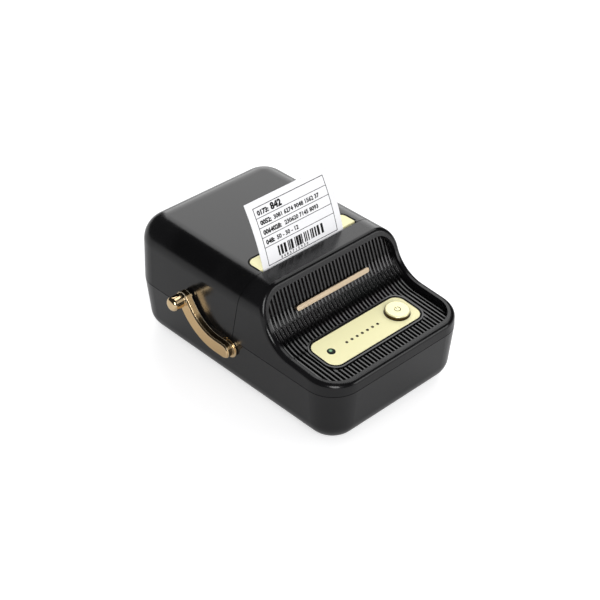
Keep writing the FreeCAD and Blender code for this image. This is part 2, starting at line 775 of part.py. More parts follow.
def platen_bracket():
    """A plate under the lid with two arms that carry the roller's shaft."""
    top = f"({ceiling} - seat_gap)"
    low = f"({ceiling} - bracket_thickness)"
    reach = "(arm_inner + arm_thickness)"
    depth = (f"{tear_front} + run_gap", f"{tear_front} + bracket_depth")
    flat = box("bracket_flat", (f"0 - {reach}", reach), depth, (low, top))
    parts = [common("bracket_plate", upper_inner, flat)]
    for side, name in ((-1, "left"), (1, "right")):
        near, far = f"{side} * arm_inner", f"{side} * (arm_inner + arm_thickness)"
        run = (near, far) if side > 0 else (far, near)
        depth = (f"{platen_y} - arm_radius", f"{platen_y} + arm_radius")
        parts.append(box(f"{name}_arm", run, depth, (platen_z, f"{low} + seat_gap")))
        parts.append(rod(f"{name}_arm_eye", "arm_radius", run, platen_y, platen_z))
    across = ("0 - body_width", "body_width")
    bores = [rod("bracket_bore", "shaft_radius + fit_gap", across, platen_y, platen_z)]
    for i, (x, y) in enumerate(bracket_screw_places):
        through = (f"{low} - wall", f"{top} + wall")
        bores.append(post(f"bracket_hole{i}", "small_screw + fit_gap", x, y, through))
    return piece(cut("platen_bracket", fuse("bracket_whole", *parts), *bores), "platen_bracket")


def platen():
    """Rubber roller on its shaft, with the bushes that drop into the frame."""
    half = "platen_width / 2"
    across = ("0 - body_width", "body_width")
    core = rod("platen_core", "shaft_radius", across, platen_y, platen_z)
    sleeve = rod("platen_sleeve", "platen_radius", (f"0 - {half}", half), platen_y, platen_z)
    piece(cut("platen_roller", sleeve, core), "platen_roller")
    left_end = "(0 - cheek_inner - sheet - bush_width)"
    right_end = "(cheek_inner + sheet + gear_offset + gear_width + seat_gap)"
    shaft = rod("platen_shaft", "shaft_radius", (left_end, right_end), platen_y, platen_z)
    piece(shaft, "platen_shaft")
    bore = rod("bush_bore", "shaft_radius + fit_gap", across, platen_y, platen_z)
    bushes = []
    for side, name in ((-1, "left"), (1, "right")):
        near = f"{side} * (cheek_inner + sheet / 2 - bush_width / 2)"
        far = f"{side} * (cheek_inner + sheet / 2 + bush_width / 2)"
        run = (near, far) if side > 0 else (far, near)
        ring = rod(f"{name}_bush_ring", "bush_radius", run, platen_y, platen_z)
        bushes.append(cut(f"{name}_bush", ring, bore))
    piece(group("platen_bushes", *bushes), "platen_bushes")


gear_start = "(cheek_inner + sheet + gear_offset)"
gear_end = f"({gear_start} + gear_width)"
idler_local = (platen_behind, "(0 - gear_module * (platen_teeth + idler_teeth) / 2 - fit_gap)")
pinion_spread = "(gear_module * (idler_teeth + pinion_teeth) / 2 + fit_gap)"
pinion_local = (
    f"({idler_local[0]} - {pinion_spread} * sin(pinion_angle))",
    f"({idler_local[1]} - {pinion_spread} * cos(pinion_angle))")


def in_nip_frame(y, z):
    """A point beside the paper, in the casing's own Y and Z."""
    ahead, high, angle = nip
    return (
        f"({ahead} + ({y}) * cos({angle}) - ({z}) * sin({angle}))",
        f"({high} + ({y}) * sin({angle}) + ({z}) * cos({angle}))")


def involute(angle):
    return math.tan(angle) - angle


def gear(name, teeth, bore, centre, phase):
    """A spur gear with involute teeth; phase turns one tooth's middle to that angle."""
    count = int(round(value(teeth)))
    module = value("gear_module")
    pitch = module * count / 2
    pressure = math.radians(20)
    base = pitch * math.cos(pressure)
    tip = pitch + module
    root = pitch - 1.25 * module
    half_tooth = (math.pi * module / 2 - value("backlash")) / (2 * pitch)
    start = max(base, root)

    def spread(radius):
        return half_tooth + involute(pressure) - involute(math.acos(min(1, base / radius)))
    outline = []
    for tooth in range(count):
        middle = phase + 2 * math.pi * tooth / count
        flank = [(root, -spread(start)), (start, -spread(start)), (tip, -spread(tip)),
                 (tip, spread(tip)), (start, spread(start)), (root, spread(start))]
        outline += [(radius, middle + turn) for radius, turn in flank]
    y, z = value(centre[0]), value(centre[1])
    x0, x1 = value(gear_start), value(gear_end)
    points = [Vector(x0, y + radius * math.cos(a), z + radius * math.sin(a)) for radius, a in outline]
    kept = [p for i, p in enumerate(points) if p.distanceToPoint(points[i - 1]) > 1e-6]
    blank = Part.Face(Part.makePolygon(kept + kept[:1])).extrude(Vector(x1 - x0, 0, 0))
    hole = Part.makeCylinder(value(bore), x1 - x0, Vector(x0, y, z), Vector(1, 0, 0))
    item = doc.addObject("Part::Feature", name)
    item.Shape = blank.cut(hole)
    return item


def feed_gears():
    """Motor pinion, idler and platen gear, each set tooth to gap."""
    centres = [(platen_y, platen_z), in_nip_frame(*idler_local), in_nip_frame(*pinion_local)]
    spots = [(value(y), value(z)) for y, z in centres]
    down = math.atan2(spots[1][1] - spots[0][1], spots[1][0] - spots[0][0])
    on = math.atan2(spots[2][1] - spots[1][1], spots[2][0] - spots[1][0])
    idler_step = 2 * math.pi / value("idler_teeth")
    pinion_step = 2 * math.pi / value("pinion_teeth")
    idler_phase = down + math.pi + idler_step / 2
    ahead = (idler_phase - on) % idler_step
    pinion_phase = on + math.pi - ahead * value("idler_teeth / pinion_teeth") + pinion_step / 2
    idler_bore = "stud_radius + fit_gap"
    piece(gear("platen_gear", "platen_teeth", "shaft_radius", centres[0], down), "platen_gear")
    piece(gear("idler_gear", "idler_teeth", idler_bore, centres[1], idler_phase), "idler_gear")
    teeth = gear("pinion_teeth_ring", "pinion_teeth", "motor_shaft / 2", centres[2], pinion_phase)
    spindle = rod("pinion_spindle", "motor_shaft", ("cheek_inner + seat_gap", gear_end), *centres[2])
    piece(fuse("motor_pinion", teeth, spindle), "motor_pinion")
    stud_top = f"({gear_end} + run_gap)"
    stud = fuse(
        "idler_stud",
        rod("stud_pin", "stud_radius", ("cheek_inner + sheet", stud_top), *centres[1]),
        rod("stud_head", "2 * stud_radius", (stud_top, f"{stud_top} + sheet"), *centres[1]))
    piece(stud, "idler_stud")
    can_run = ("cheek_inner - motor_length", "cheek_inner")
    can = rod("motor_can", "motor_radius", can_run, *centres[2])
    far_end = value(can_run[0])

    def at_far_end(edge):
        return edge.Closed and abs(edge.CenterOfMass.x - far_end) < 1e-5
    bevelled = soften("motor_bevelled", can, "motor_bevel", at_far_end, "Part::Chamfer")
    piece(bevelled, "stepper_motor")


head_front = "(0 - label_thickness - seat_gap - head_thickness)"
sink_front = f"({head_front} - sink_thickness)"
frame_back = f"({sink_front} - spring_gap)"


def print_head():
    """Ceramic strip on its heat sink, pushed at the roller by a bowed leaf spring."""
    half = "(platen_width / 2 + head_overhang)"
    strip = box(
        "thermal_head", (f"0 - {half}", half), (head_front, f"{head_front} + head_thickness"),
        ("0 - head_height / 2", "head_height / 2"), nip)
    piece(strip, "thermal_head")
    rise = ("0 - sink_height + head_height / 2", "head_height / 2 - sheet")
    block = box("sink_block", (f"0 - {half}", half), (sink_front, head_front), rise, nip)
    slots = []
    for i in range(3):
        z = f"(head_height / 2 - sink_height + sink_height * {i + 1} / 4)"
        depth = (f"{sink_front} - wall", f"{sink_front} + sink_thickness / 2")
        rise_of = (f"{z} - sheet / 2", f"{z} + sheet / 2")
        slots.append(box(f"sink_slot{i}", ("0 - body_width", "body_width"), depth, rise_of, nip))
    piece(cut("head_heatsink", block, *slots), "head_heatsink")
    body = doc.addObject("PartDesign::Body", "head_spring")
    sketch = new_sketch(body, "spring_side", "YZ_Plane")
    near, far = f"({sink_front} - seat_gap)", f"({frame_back} + seat_gap)"
    reach = "(head_height * 0.4)"
    polygon(sketch, [
        (far, f"0 - {reach}"), (near, "0 - sheet"), (near, "sheet"), (far, reach),
        (far, f"{reach} - 2 * spring_sheet"), (f"{near} - spring_sheet", "0"),
        (far, f"2 * spring_sheet - {reach}")])
    pad(body, sketch, "platen_width / 2", both_ways=True)
    piece(place(body, "0", "0", "0", nip), "head_spring")


def mech_frame():
    """Bent sheet: a front wall and two cheeks whose open slots hold the roller's bushes."""
    front = f"({frame_back} - sheet)"
    deep = "(0 - body_height)"
    wide = "(cheek_inner + sheet)"
    wall_rise = ("0 - 1.5 * head_height", "head_height / 4")
    parts = [box("frame_front", (f"0 - {wide}", wide), (front, frame_back), wall_rise, nip)]
    feet = []
    slots = []
    bores = []
    for side, name in ((-1, "left"), (1, "right")):
        run = ("cheek_inner", wide) if side > 0 else (f"0 - {wide}", "0 - cheek_inner")
        depth = (front, f"{front} + cheek_depth")
        parts.append(box(f"{name}_cheek", run, depth, (deep, "cheek_top"), nip))
        near, far = f"{side} * cheek_inner", f"{side} * ({wide} + flange_width)"
        foot = (near, far) if side > 0 else (far, near)
        foot_depth = ("0 - mech_forward - flange_width / 2", "flange_width / 2 - mech_forward")
        feet.append(box(f"{name}_flange", foot, foot_depth, ("mech_seat", "mech_seat + sheet")))
    across = ("0 - body_width", "body_width")
    slots.append(rod("frame_slot_foot", "bush_radius + seat_gap", across, platen_behind, "0", nip))
    slots.append(box(
        "frame_slot", across,
        (f"{platen_behind} - bush_radius - seat_gap", f"{platen_behind} + bush_radius + slot_flare"),
        ("0", "2 * cheek_top"), nip))
    one_cheek = ("cheek_inner - sheet", f"{wide} + sheet")
    slots.append(rod("frame_motor_bore", "2 * motor_shaft", one_cheek, *pinion_local, nip))
    for i, (x, y) in enumerate(mech_posts):
        through = ("mech_seat - wall", "mech_seat + wall")
        bores.append(post(f"flange_bore{i}", "small_screw + fit_gap", x, y, through))
    bent = cut("frame_bent", fuse("frame_walls", *parts), *slots)
    ahead = "post_radius + run_gap - rear_post_ahead"
    room = box("frame_room", across, (ahead, "body_length"), ("mech_seat", "body_height"))
    trimmed = common("frame_trimmed", bent, room)
    return piece(cut("mech_frame", fuse("frame_whole", trimmed, *feet), *bores), "mech_frame")


def label_stock():
    """A wound roll on its core, the run of paper to the head, and the label that has come out."""
    run = ("0 - label_shift - label_width / 2", "label_width / 2 - label_shift")
    wide = ("0 - body_width", "body_width")
    core_hole = rod("core_hole", "core_radius - core_wall", wide, roll_y, "roll_height")
    core_rod = rod("core_rod", "core_radius", run, roll_y, "roll_height")
    roll_hole = rod("roll_hole", "core_radius", wide, roll_y, "roll_height")
    piece(cut("roll_core", core_rod, core_hole), "roll_core")
    wound = rod("roll_rod", "roll_radius", run, roll_y, "roll_height")
    piece(cut("label_roll", wound, roll_hole), "label_roll")
    start_z = "(body_height - label_start)"
    start_y = f"({paper_top} - label_start * tan(label_lean))"
    bend_y = f"({start_y} + label_curl * cos(label_lean))"
    bend_z = f"({start_z} - label_curl * sin(label_lean))"
    sheet_ring = cut(
        "label_ring", rod("label_face", "label_curl + label_thickness", run, bend_y, bend_z),
        rod("label_back", "label_curl", wide, bend_y, bend_z))
    rise = (start_z, "body_height + label_rise")
    window = box("label_window", wide, ("0 - body_length", bend_y), rise)
    piece(common("printed_label", sheet_ring, window), "printed_label")
    paper_run()


def paper_run():
    """Paper from the roll, round under the roller and up between it and the head."""
    roll = Vector(0, value(roll_y), value("roll_height"))
    roller = Vector(0, value(platen_y), value(platen_z))
    big = value("roll_radius + seat_gap")
    small = value(platen_behind)
    thick = value("label_thickness")
    along = roll - roller
    tilt = math.atan2(along.z, along.y) - math.asin((big - small) / along.Length)
    out = Vector(0, math.sin(tilt), -math.cos(tilt))
    lean = math.radians(value("label_lean"))
    at_nip = Vector(0, -math.cos(lean), math.sin(lean))
    between = (out + at_nip).normalize()
    rise = Vector(0, math.sin(lean), math.cos(lean))
    last = (value("nip_drop - label_start") - value("run_gap")) / math.cos(lean)

    def side(extra):
        touch = roller + out * (small + extra)
        leave = roller + at_nip * (small + extra)
        return [
            Part.makeLine(roll + out * (big + extra), touch),
            Part.Arc(touch, roller + between * (small + extra), leave).toShape(),
            Part.makeLine(leave, leave + rise * last)]
    inner, outer = side(0), side(thick)
    ends = [
        Part.makeLine(inner[0].Vertexes[0].Point, outer[0].Vertexes[0].Point),
        Part.makeLine(inner[2].Vertexes[1].Point, outer[2].Vertexes[1].Point)]
    outline = Part.Wire(Part.__sortEdges__(inner + outer + ends))
    strip = Part.Face(outline).extrude(Vector(value("label_width"), 0, 0))
    item = doc.addObject("Part::Feature", "label_web")
    item.Shape = strip
    item.Placement = Placement(Vector(-value("label_shift + label_width / 2"), 0, 0), Rotation())
    piece(item, "label_web")


def roll_cradle():
    """A trough with end cheeks that the roll lies in, lower in front where the paper comes up."""
    half = "(label_width / 2 + run_gap)"
    reach = (f"0 - label_shift - {half}", f"{half} - label_shift")
    wide = (f"{reach[0]} - cradle_cheek", f"{reach[1]} + cradle_cheek")
    front = f"({roll_y} - cradle_length / 2)"
    block = fuse(
        "cradle_block",
        box("cradle_front", wide, (front, roll_y), (floor_top, "cradle_lip")),
        box("cradle_rear", wide, (roll_y, f"{roll_y} + cradle_length / 2"), (floor_top, "cradle_top")))
    trough = rod("cradle_trough", "roll_radius + run_gap", reach, roll_y, "roll_height")
    piece(cut("roll_cradle", block, trough), "roll_cradle")
    eye = box(
        "gap_sensor", ("0 - switch_width", "switch_width"), (front, f"{front} + switch_width"),
        ("cradle_lip", "cradle_lip + led_height"))
    piece(eye, "gap_sensor")


lever_face = f"(0 - {half_width} - lever_stand)"
lever_out = f"({lever_face} - lever_thickness)"


def lever():
    """Curved flat arm with a turned knob, on a shaft whose inner arm lifts the lid."""
    run = (lever_out, lever_face)
    half = "(lever_width / 2)"
    bend_y = f"({lever_y} + lever_straight)"
    bend_z = f"({lever_z} + lever_bend)"
    end_y = f"({bend_y} + lever_bend * sin(lever_sweep))"
    end_z = f"({bend_z} - lever_bend * cos(lever_sweep))"
    upper = (end_y, end_z, "lever_sweep")
    knob_y = f"({end_y} + lever_reach * cos(lever_sweep))"
    knob_z = f"({end_z} + lever_reach * sin(lever_sweep))"
    sector = []
    for name, radius in (("outer", f"lever_bend + {half}"), ("inner", f"lever_bend - {half}")):
        wedge = doc.addObject("Part::Cylinder", f"lever_{name}_sector")
        bind(wedge, Radius=radius, Height="lever_thickness", Angle="lever_sweep")
        down = Rotation(Vector(0, 1, 0), 90)
        sector.append(place(wedge, lever_out, bend_y, bend_z, world, down))
    bar = fuse(
        "lever_bar",
        rod("lever_eye", half, run, lever_y, lever_z),
        box("lever_run", run, (lever_y, bend_y), (f"{lever_z} - {half}", f"{lever_z} + {half}")),
        cut("lever_arc", *sector),
        box("lever_upper", run, ("0", "lever_reach"), (f"0 - {half}", half), upper),
        rod("lever_tip", half, run, knob_y, knob_z))
    bar.Refine = True
    outside = value(lever_out)

    def on_face(edge):
        return all(abs(v.X - outside) < 1e-5 for v in edge.Vertexes)
    bevelled = soften("lever_bevelled", bar, "lever_bevel", on_face, "Part::Chamfer")
    knob_run = (f"{lever_face} - knob_length", f"0 - {half_width} - run_gap")
    knob_hole = rod("lever_knob_hole", "knob_radius", knob_run, knob_y, knob_z)
    shaft_run = (f"{lever_out} + sheet", f"{release_run[1]}")
    shaft_hole = rod("lever_shaft_hole", "lever_shaft", shaft_run, lever_y, lever_z)
    piece(cut("lever_arm", bevelled, knob_hole, shaft_hole), "lever_arm")
    knob = rod("knob_blank", "knob_radius", knob_run, knob_y, knob_z)
    tip_x = value(knob_run[0])

    def at_tip(edge):
        return edge.Closed and abs(edge.CenterOfMass.x - tip_x) < 1e-5
    domed = soften("knob_domed", knob, "knob_round", at_tip)
    ring_run = (f"{lever_out} - 2 * knob_groove", f"{lever_out} - knob_groove")
    ring = cut(
        "knob_ring", rod("ring_outside", "2 * knob_radius", ring_run, knob_y, knob_z),
        rod("ring_inside", "knob_radius - knob_groove / 2", ring_run, knob_y, knob_z))
    piece(cut("lever_knob", domed, ring), "lever_knob")
    piece(rod("lever_shaft_rod", "lever_shaft", shaft_run, lever_y, lever_z), "lever_shaft")
    lever_bush()
    release_arm()


release_run = (f"(1.6 * wall - {half_width})", f"(1.6 * wall + release_width - {half_width})")


def release_arm():
    """Inside the base, a short arm on the lever's shaft that rises under the lid's tab."""
    spot = (lever_y, lever_z, "0 - release_droop")
    half = "(release_width / 2)"
    whole = fuse(
        "release_whole",
        rod("release_hub", "2 * lever_shaft", release_run, lever_y, lever_z),
        box("release_bar", release_run, ("0", "release_length"), (f"0 - {half}", half), spot),
        rod("release_tip", half, release_run, "release_length", "0", spot))
    bore = rod("release_bore", "lever_shaft", ("0 - body_width", "0"), lever_y, lever_z)
    piece(cut("release_arm", whole, bore), "release_arm")


def lever_bush():
    """Stepped collar in the base's side that the lever's shaft turns in."""
    skin = f"(0 - {half_width} - fit_gap)"
    step_end = f"({lever_face} + run_gap)"
    whole = fuse(
        "bush_whole",
        rod("bush_flange_disc", "bush_flange", (f"{skin} - flange_thickness", skin), lever_y, lever_z),
        rod("bush_step_disc", "bush_step", (step_end, skin), lever_y, lever_z),
        rod("bush_spigot_rod", "bush_spigot", (skin, f"{release_run[0]} - run_gap"), lever_y, lever_z))
    bore = rod("lever_bush_bore", "lever_shaft + fit_gap", ("0 - body_width", "0"), lever_y, lever_z)
    piece(cut("lever_bush", whole, bore), "lever_bush")


def electronics():
    edge = "(board_width / 2)"
    middle = "(0 - board_forward)"
    tab_run = (f"{edge} - wall", f"{half_width} - 3 * wall")
    rise = ("board_height", board_top)
    depth = (f"{middle} - board_depth / 2", f"{middle} + board_depth / 2")
    tab_half = "(socket_width / 2 + run_gap)"
    tab_depth = (f"0 - socket_forward - {tab_half}", f"{tab_half} - socket_forward")
    outline = fuse(
        "board_outline",
        box("board_main", (f"0 - {edge}", edge), depth, rise),
        box("board_tab", tab_run, tab_depth, rise))
    through = ("board_height - wall", f"{board_top} + wall")
    holes = [
        post(f"board_hole{i}", "small_screw + fit_gap", x, y, through)
        for i, (x, y) in enumerate(board_posts)]
    piece(cut("main_board", outline, *holes), "main_board")
    tilt_y = f"(0 - plate_forward + (({deck[1]}) - {board_top} - switch_height) * tan(deck_slope))"
    side = "(switch_width / 2)"
    body_top = f"({board_top} + 0.8 * switch_height)"
    body_run = (f"button_offset - {side}", f"button_offset + {side}")
    body_depth = (f"{tilt_y} - {side}", f"{tilt_y} + {side}")
    plunger = (body_top, f"{board_top} + switch_height")
    switch = fuse(
        "tact_switch",
        box("switch_body", body_run, body_depth, (board_top, body_top)),
        post("switch_plunger", "button_stem", "button_offset", tilt_y, plunger))
    piece(switch, "tact_switch")
    lamp_y = f"(0 - plate_forward + (({deck[1]}) - {board_top}) * tan(deck_slope))"
    led_run = ("0 - lamp_offset - lamp_radius", "lamp_radius - lamp_offset")
    led_depth = (f"{lamp_y} - lamp_radius / 2", f"{lamp_y} + lamp_radius / 2")
    led = box("status_led", led_run, led_depth, (board_top, f"{board_top} + led_height"))
    piece(led, "status_led")
    power_socket()
    pack = box(
        "battery_block", ("0 - battery_width / 2", "battery_width / 2"),
        ("0 - battery_forward - battery_depth / 2", "battery_depth / 2 - battery_forward"),
        (floor_top, f"{floor_top} + battery_height"))

    def along_x(edge_found):
        low, high = edge_found.Vertexes[0], edge_found.Vertexes[-1]
        return abs(low.X - high.X) > 1e-3 and abs(low.Z - value(floor_top)) > 1e-3
    piece(soften("battery_rounded", pack, "battery_round", along_x), "battery_pack")


def power_socket():
    """An oval metal shell with a flat tongue, open to the casing's right side."""
    mouth = f"({half_width} - wall / 2)"
    back = f"({mouth} - socket_length)"
    middle = f"({board_top} + socket_height / 2)"
    shell = socket_outline("socket_shell", "0", (back, mouth))
    open_run = (f"{back} + wall / 2", f"{mouth} + wall")
    cavity = socket_outline("socket_cavity", "0 - socket_skin", open_run)
    tongue = box(
        "socket_tongue", (f"{back} + wall / 4", f"{mouth} - wall / 2"),
        ("0 - socket_forward - socket_width / 3", "socket_width / 3 - socket_forward"),
        (f"{middle} - socket_skin", f"{middle} + socket_skin"))
    piece(fuse("usb_socket", cut("socket_hollow", shell, cavity), tongue), "usb_socket")


large_screw = ("screw_radius", "head_radius", "screw_head")
fine_screw = ("small_screw", "small_head", "small_cap")


def screws(name, places, kind, seat, bite, upward):
    """Alike screws whose heads sit at one height and whose shanks run into the piece they hold."""
    radius, head, cap = kind
    shank = (seat, bite) if upward else (bite, seat)
    crown = (f"({seat}) - ({cap})", seat) if upward else (seat, f"({seat}) + ({cap})")
    made = []
    for i, (x, y) in enumerate(places):
        made.append(fuse(
            f"{name}{i}", post(f"{name}{i}_shank", radius, x, y, shank),
            post(f"{name}{i}_head", head, x, y, crown)))
    piece(group(name, *made), name)


def fasteners():
    screws("case_screws", case_posts, large_screw, "screw_sink", "parting_height + screw_bite", True)
    board_bite = "board_height - small_bite + run_gap"
    screws("board_screws", board_posts, fine_screw, board_top, board_bite, False)
    mech_bite = "mech_seat - small_bite + run_gap"
    screws("mech_screws", mech_posts, fine_screw, "mech_seat + sheet", mech_bite, False)
    under = f"({ceiling} - bracket_thickness)"
    screws("bracket_screws", bracket_screw_places, fine_screw, under, f"{ceiling} + 0.6 * wall", True)
    piece(rod("hinge_pin", "pin_radius", hinge_pin_run, hinge_y, hinge_z), "hinge_pin")


def foot_ring():
    """A rounded rubber ring under the base."""
    outside = rounded_slab(
        "foot_outside", "foot_width", "foot_length", "foot_radius", ("0", "foot_height"), world)
    inside = rounded_slab(
        "foot_inside", "foot_width - 2 * foot_band", "foot_length - 2 * foot_band",
        "foot_radius - foot_band", ("0", "foot_height"), world)
    piece(cut("foot_ring", outside, inside), "foot_ring")


base_shell()
front_shell()
grille_panel()
control_plate()
power_button()
lamp_lens()
name_bar()
lid_shell()
tear_plate()
platen_bracket()
platen()
feed_gears()
print_head()
mech_frame()
label_stock()
roll_cradle()
lever()
electronics()
fasteners()
foot_ring()
doc.recompute()

for item in doc.Objects:
    if "Invalid" in item.State or "Error" in item.State:
        raise RuntimeError(f"{item.Label} did not build: {item.State}")
for item in pieces:
    if item.Shape.isNull() or not item.Shape.isValid() or not item.Shape.Solids:
        raise RuntimeError(f"{item.Label} has no valid solid")

os.makedirs("parts", exist_ok=True)
for item in pieces:
    item.Shape.exportStep(f"parts/{item.Label}.step")
    print(item.Label, len(item.Shape.Solids), round(item.Shape.Volume, 2))
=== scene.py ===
import math

import bpy
import numpy as np
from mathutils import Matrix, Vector


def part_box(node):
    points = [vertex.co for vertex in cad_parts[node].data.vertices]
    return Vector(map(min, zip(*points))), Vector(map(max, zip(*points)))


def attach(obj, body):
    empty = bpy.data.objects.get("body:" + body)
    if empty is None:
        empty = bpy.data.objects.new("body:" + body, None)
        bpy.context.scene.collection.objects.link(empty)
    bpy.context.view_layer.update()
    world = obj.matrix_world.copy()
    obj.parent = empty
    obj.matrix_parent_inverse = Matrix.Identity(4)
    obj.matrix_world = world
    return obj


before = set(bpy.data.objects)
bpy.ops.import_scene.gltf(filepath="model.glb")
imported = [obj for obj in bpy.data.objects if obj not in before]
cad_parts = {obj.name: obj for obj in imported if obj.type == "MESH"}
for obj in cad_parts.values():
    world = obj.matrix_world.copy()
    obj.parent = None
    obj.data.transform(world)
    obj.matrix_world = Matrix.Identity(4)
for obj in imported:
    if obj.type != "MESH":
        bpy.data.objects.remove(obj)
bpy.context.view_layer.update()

mm = 0.001
# Points nearer than this to a plane lie in it.
flush = 0.01 * mm
scene = bpy.context.scene
scene.view_settings.view_transform = "Standard"


class Socket:
    # one output of a node; arithmetic on it adds Math nodes
    def __init__(self, paint, out):
        self.paint = paint
        self.out = out

    def math(self, operation, *values):
        return self.paint.node("Math", {"operation": operation}, *values)

    def __add__(self, other):
        return self.math("ADD", self, other)

    def __radd__(self, other):
        return self.math("ADD", other, self)

    def __sub__(self, other):
        return self.math("SUBTRACT", self, other)

    def __rsub__(self, other):
        return self.math("SUBTRACT", other, self)

    def __mul__(self, other):
        return self.math("MULTIPLY", self, other)

    def __rmul__(self, other):
        return self.math("MULTIPLY", other, self)

    def __truediv__(self, other):
        return self.math("DIVIDE", self, other)

    def __rtruediv__(self, other):
        return self.math("DIVIDE", other, self)

    def __pow__(self, other):
        return self.math("POWER", self, other)

    def __gt__(self, other):
        return self.math("GREATER_THAN", self, other)

    def __lt__(self, other):
        return self.math("LESS_THAN", self, other)

    def __abs__(self):
        return self.math("ABSOLUTE", self)

    def atLeast(self, low):
        return self.math("MAXIMUM", self, low)

    def atMost(self, high):
        return self.math("MINIMUM", self, high)

    def wave(self):
        return self.math("SINE", self)

    def fraction(self):
        return self.math("FRACT", self)

    def angleOver(self, across):
        return self.math("ARCTAN2", self, across)

    def smooth(self, low, high):
        return self.paint.node("MapRange", {"interpolation_type": "SMOOTHSTEP"}, self, low, high, 0.0, 1.0)


class Paint:
    # a node tree being painted: node() adds any node, its settings first, then its sockets
    def __init__(self, tree):
        self.tree = tree
        tree.nodes.clear()

    def node(self, kind, settings, *values, out=0, **named):
        made = self.tree.nodes.new("ShaderNode" + kind)
        for key, value in settings.items():
            setattr(made, key, value)
        for key, value in [*enumerate(values), *named.items()]:
            self.feed(made.inputs[key], value)
        return Socket(self, made.outputs[out]) if made.outputs else None

    def feed(self, target, value):
        if isinstance(value, Socket):
            self.tree.links.new(value.out, target)
        else:
            target.default_value = value

    def place(self):
        return self.node("TexCoord", {}, out="Object")

    def axes(self):
        parted = self.node("SeparateXYZ", {}, self.place()).out.node
        return [Socket(self, parted.outputs[axis]) for axis in "XYZ"]

    def radiusFrom(self, middle):
        # distance from an upright line through a point
        x, y, _ = self.axes()
        return ((x - middle.x) ** 2 + (y - middle.y) ** 2) ** 0.5

    def noise(self, scale, detail=3.0, vector=None):
        return self.node("TexNoise", {}, Vector=vector or self.place(), Scale=scale, Detail=detail)

    def streaks(self, along, across):
        # noise drawn out along X
        drawn = self.node("Mapping", {}, Vector=self.place(), Scale=(along, across, across))
        return self.noise(1.0, vector=drawn)

    def blend(self, amount, first, second):
        # the Mix node's colour sockets share their names with others, so they go by number
        mixed = self.node("Mix", {"data_type": "RGBA"}, amount).out.node
        self.feed(mixed.inputs[6], first)
        self.feed(mixed.inputs[7], second)
        return Socket(self, mixed.outputs[2])

    def bump(self, height, depth):
        return self.node("Bump", {}, Distance=depth, Height=height)

    def seen(self, glossy):
        # 1 for what the camera sees, straight or through glass, and a share of it for what gloss mirrors
        rays = self.node("LightPath", {}).out.node.outputs
        kinds = ("Is Camera Ray", "Is Transmission Ray", "Is Glossy Ray")
        camera, through, mirrored = [Socket(self, rays[kind]) for kind in kinds]
        return (camera + through + mirrored * glossy).atMost(1.0)

    def softEdges(self, radius):
        return self.node("Bevel", {"samples": 8}, Radius=radius)

    def sharpEdgeMask(self, radius, least, most):
        # 1 along sharp edges, where the softened normal leaves the true one
        true = self.node("NewGeometry", {}, out="Normal")
        kept = self.node("VectorMath", {"operation": "DOT_PRODUCT"}, self.softEdges(radius), true, out="Value")
        return (1 - kept).smooth(least, most)

    def surface(self, **sockets):
        named = {key.replace("_", " "): value for key, value in sockets.items()}
        self.end("OutputMaterial", self.node("BsdfPrincipled", {}, **named))

    def end(self, kind, shader):
        self.node(kind, {}, Surface=shader)


def newPaint(name):
    material = bpy.data.materials.new(name)
    material.use_nodes = True
    return material, Paint(material.node_tree)


def rgb(red, green, blue):
    return (red, green, blue, 1.0)


def middleOf(node):
    low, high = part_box(node)
    return (low + high) / 2


# The control plate lies on a slope. Its finishes and the pieces on it start from its middle.
plateSet = dict(slope=math.radians(5.0), thickness=1.0 * mm, halfDepth=9.0 * mm, corner=5.0 * mm)
plateMiddle = middleOf("control_plate")
plateCos, plateSin = math.cos(plateSet["slope"]), math.sin(plateSet["slope"])

glossSet = dict(
    deep=rgb(0.004, 0.004, 0.0043), pale=rgb(0.007, 0.007, 0.0075), rough=0.19, ior=1.4,
    haze=0.05, hazeScale=38, hazeFrom=0.42, hazeTo=0.72, peelScale=300, peelDepth=0.003 * mm)


def glossBlack():
    # polished black moulding: a hair of orange peel and faint handling haze
    s = glossSet
    material, p = newPaint("glossBlack")
    haze = p.noise(s["hazeScale"], detail=4).smooth(s["hazeFrom"], s["hazeTo"])
    peel = p.noise(s["peelScale"], detail=1)
    p.surface(
        Base_Color=p.blend(haze, s["deep"], s["pale"]),
        Roughness=s["rough"] + s["haze"] * haze,
        IOR=s["ior"],
        Normal=p.bump(peel, s["peelDepth"]))
    return material


baseSet = dict(
    deep=rgb(0.005, 0.005, 0.0053), pale=rgb(0.009, 0.009, 0.0095), rough=0.18, ior=1.4,
    cloudScale=60, grain=0.06, grainScale=3800, grainDepth=0.002 * mm)


def baseBlack():
    # the lower moulding: the same plastic with a finer, duller polish
    s = baseSet
    material, p = newPaint("baseBlack")
    cloud = p.noise(s["cloudScale"], detail=4)
    grain = p.noise(s["grainScale"])
    p.surface(
        Base_Color=p.blend(cloud, s["deep"], s["pale"]),
        Roughness=s["rough"] + s["grain"] * grain,
        IOR=s["ior"],
        Normal=p.bump(grain, s["grainDepth"]))
    return material


ribSet = dict(
    deep=rgb(0.002, 0.002, 0.0021), pale=rgb(0.004, 0.004, 0.0042), rough=0.11, ior=1.6, grain=0.06, grainScale=3000,
    pitch=2.16 * mm, width=1.1 * mm, crown=0.1 * mm, border=1.8 * mm)


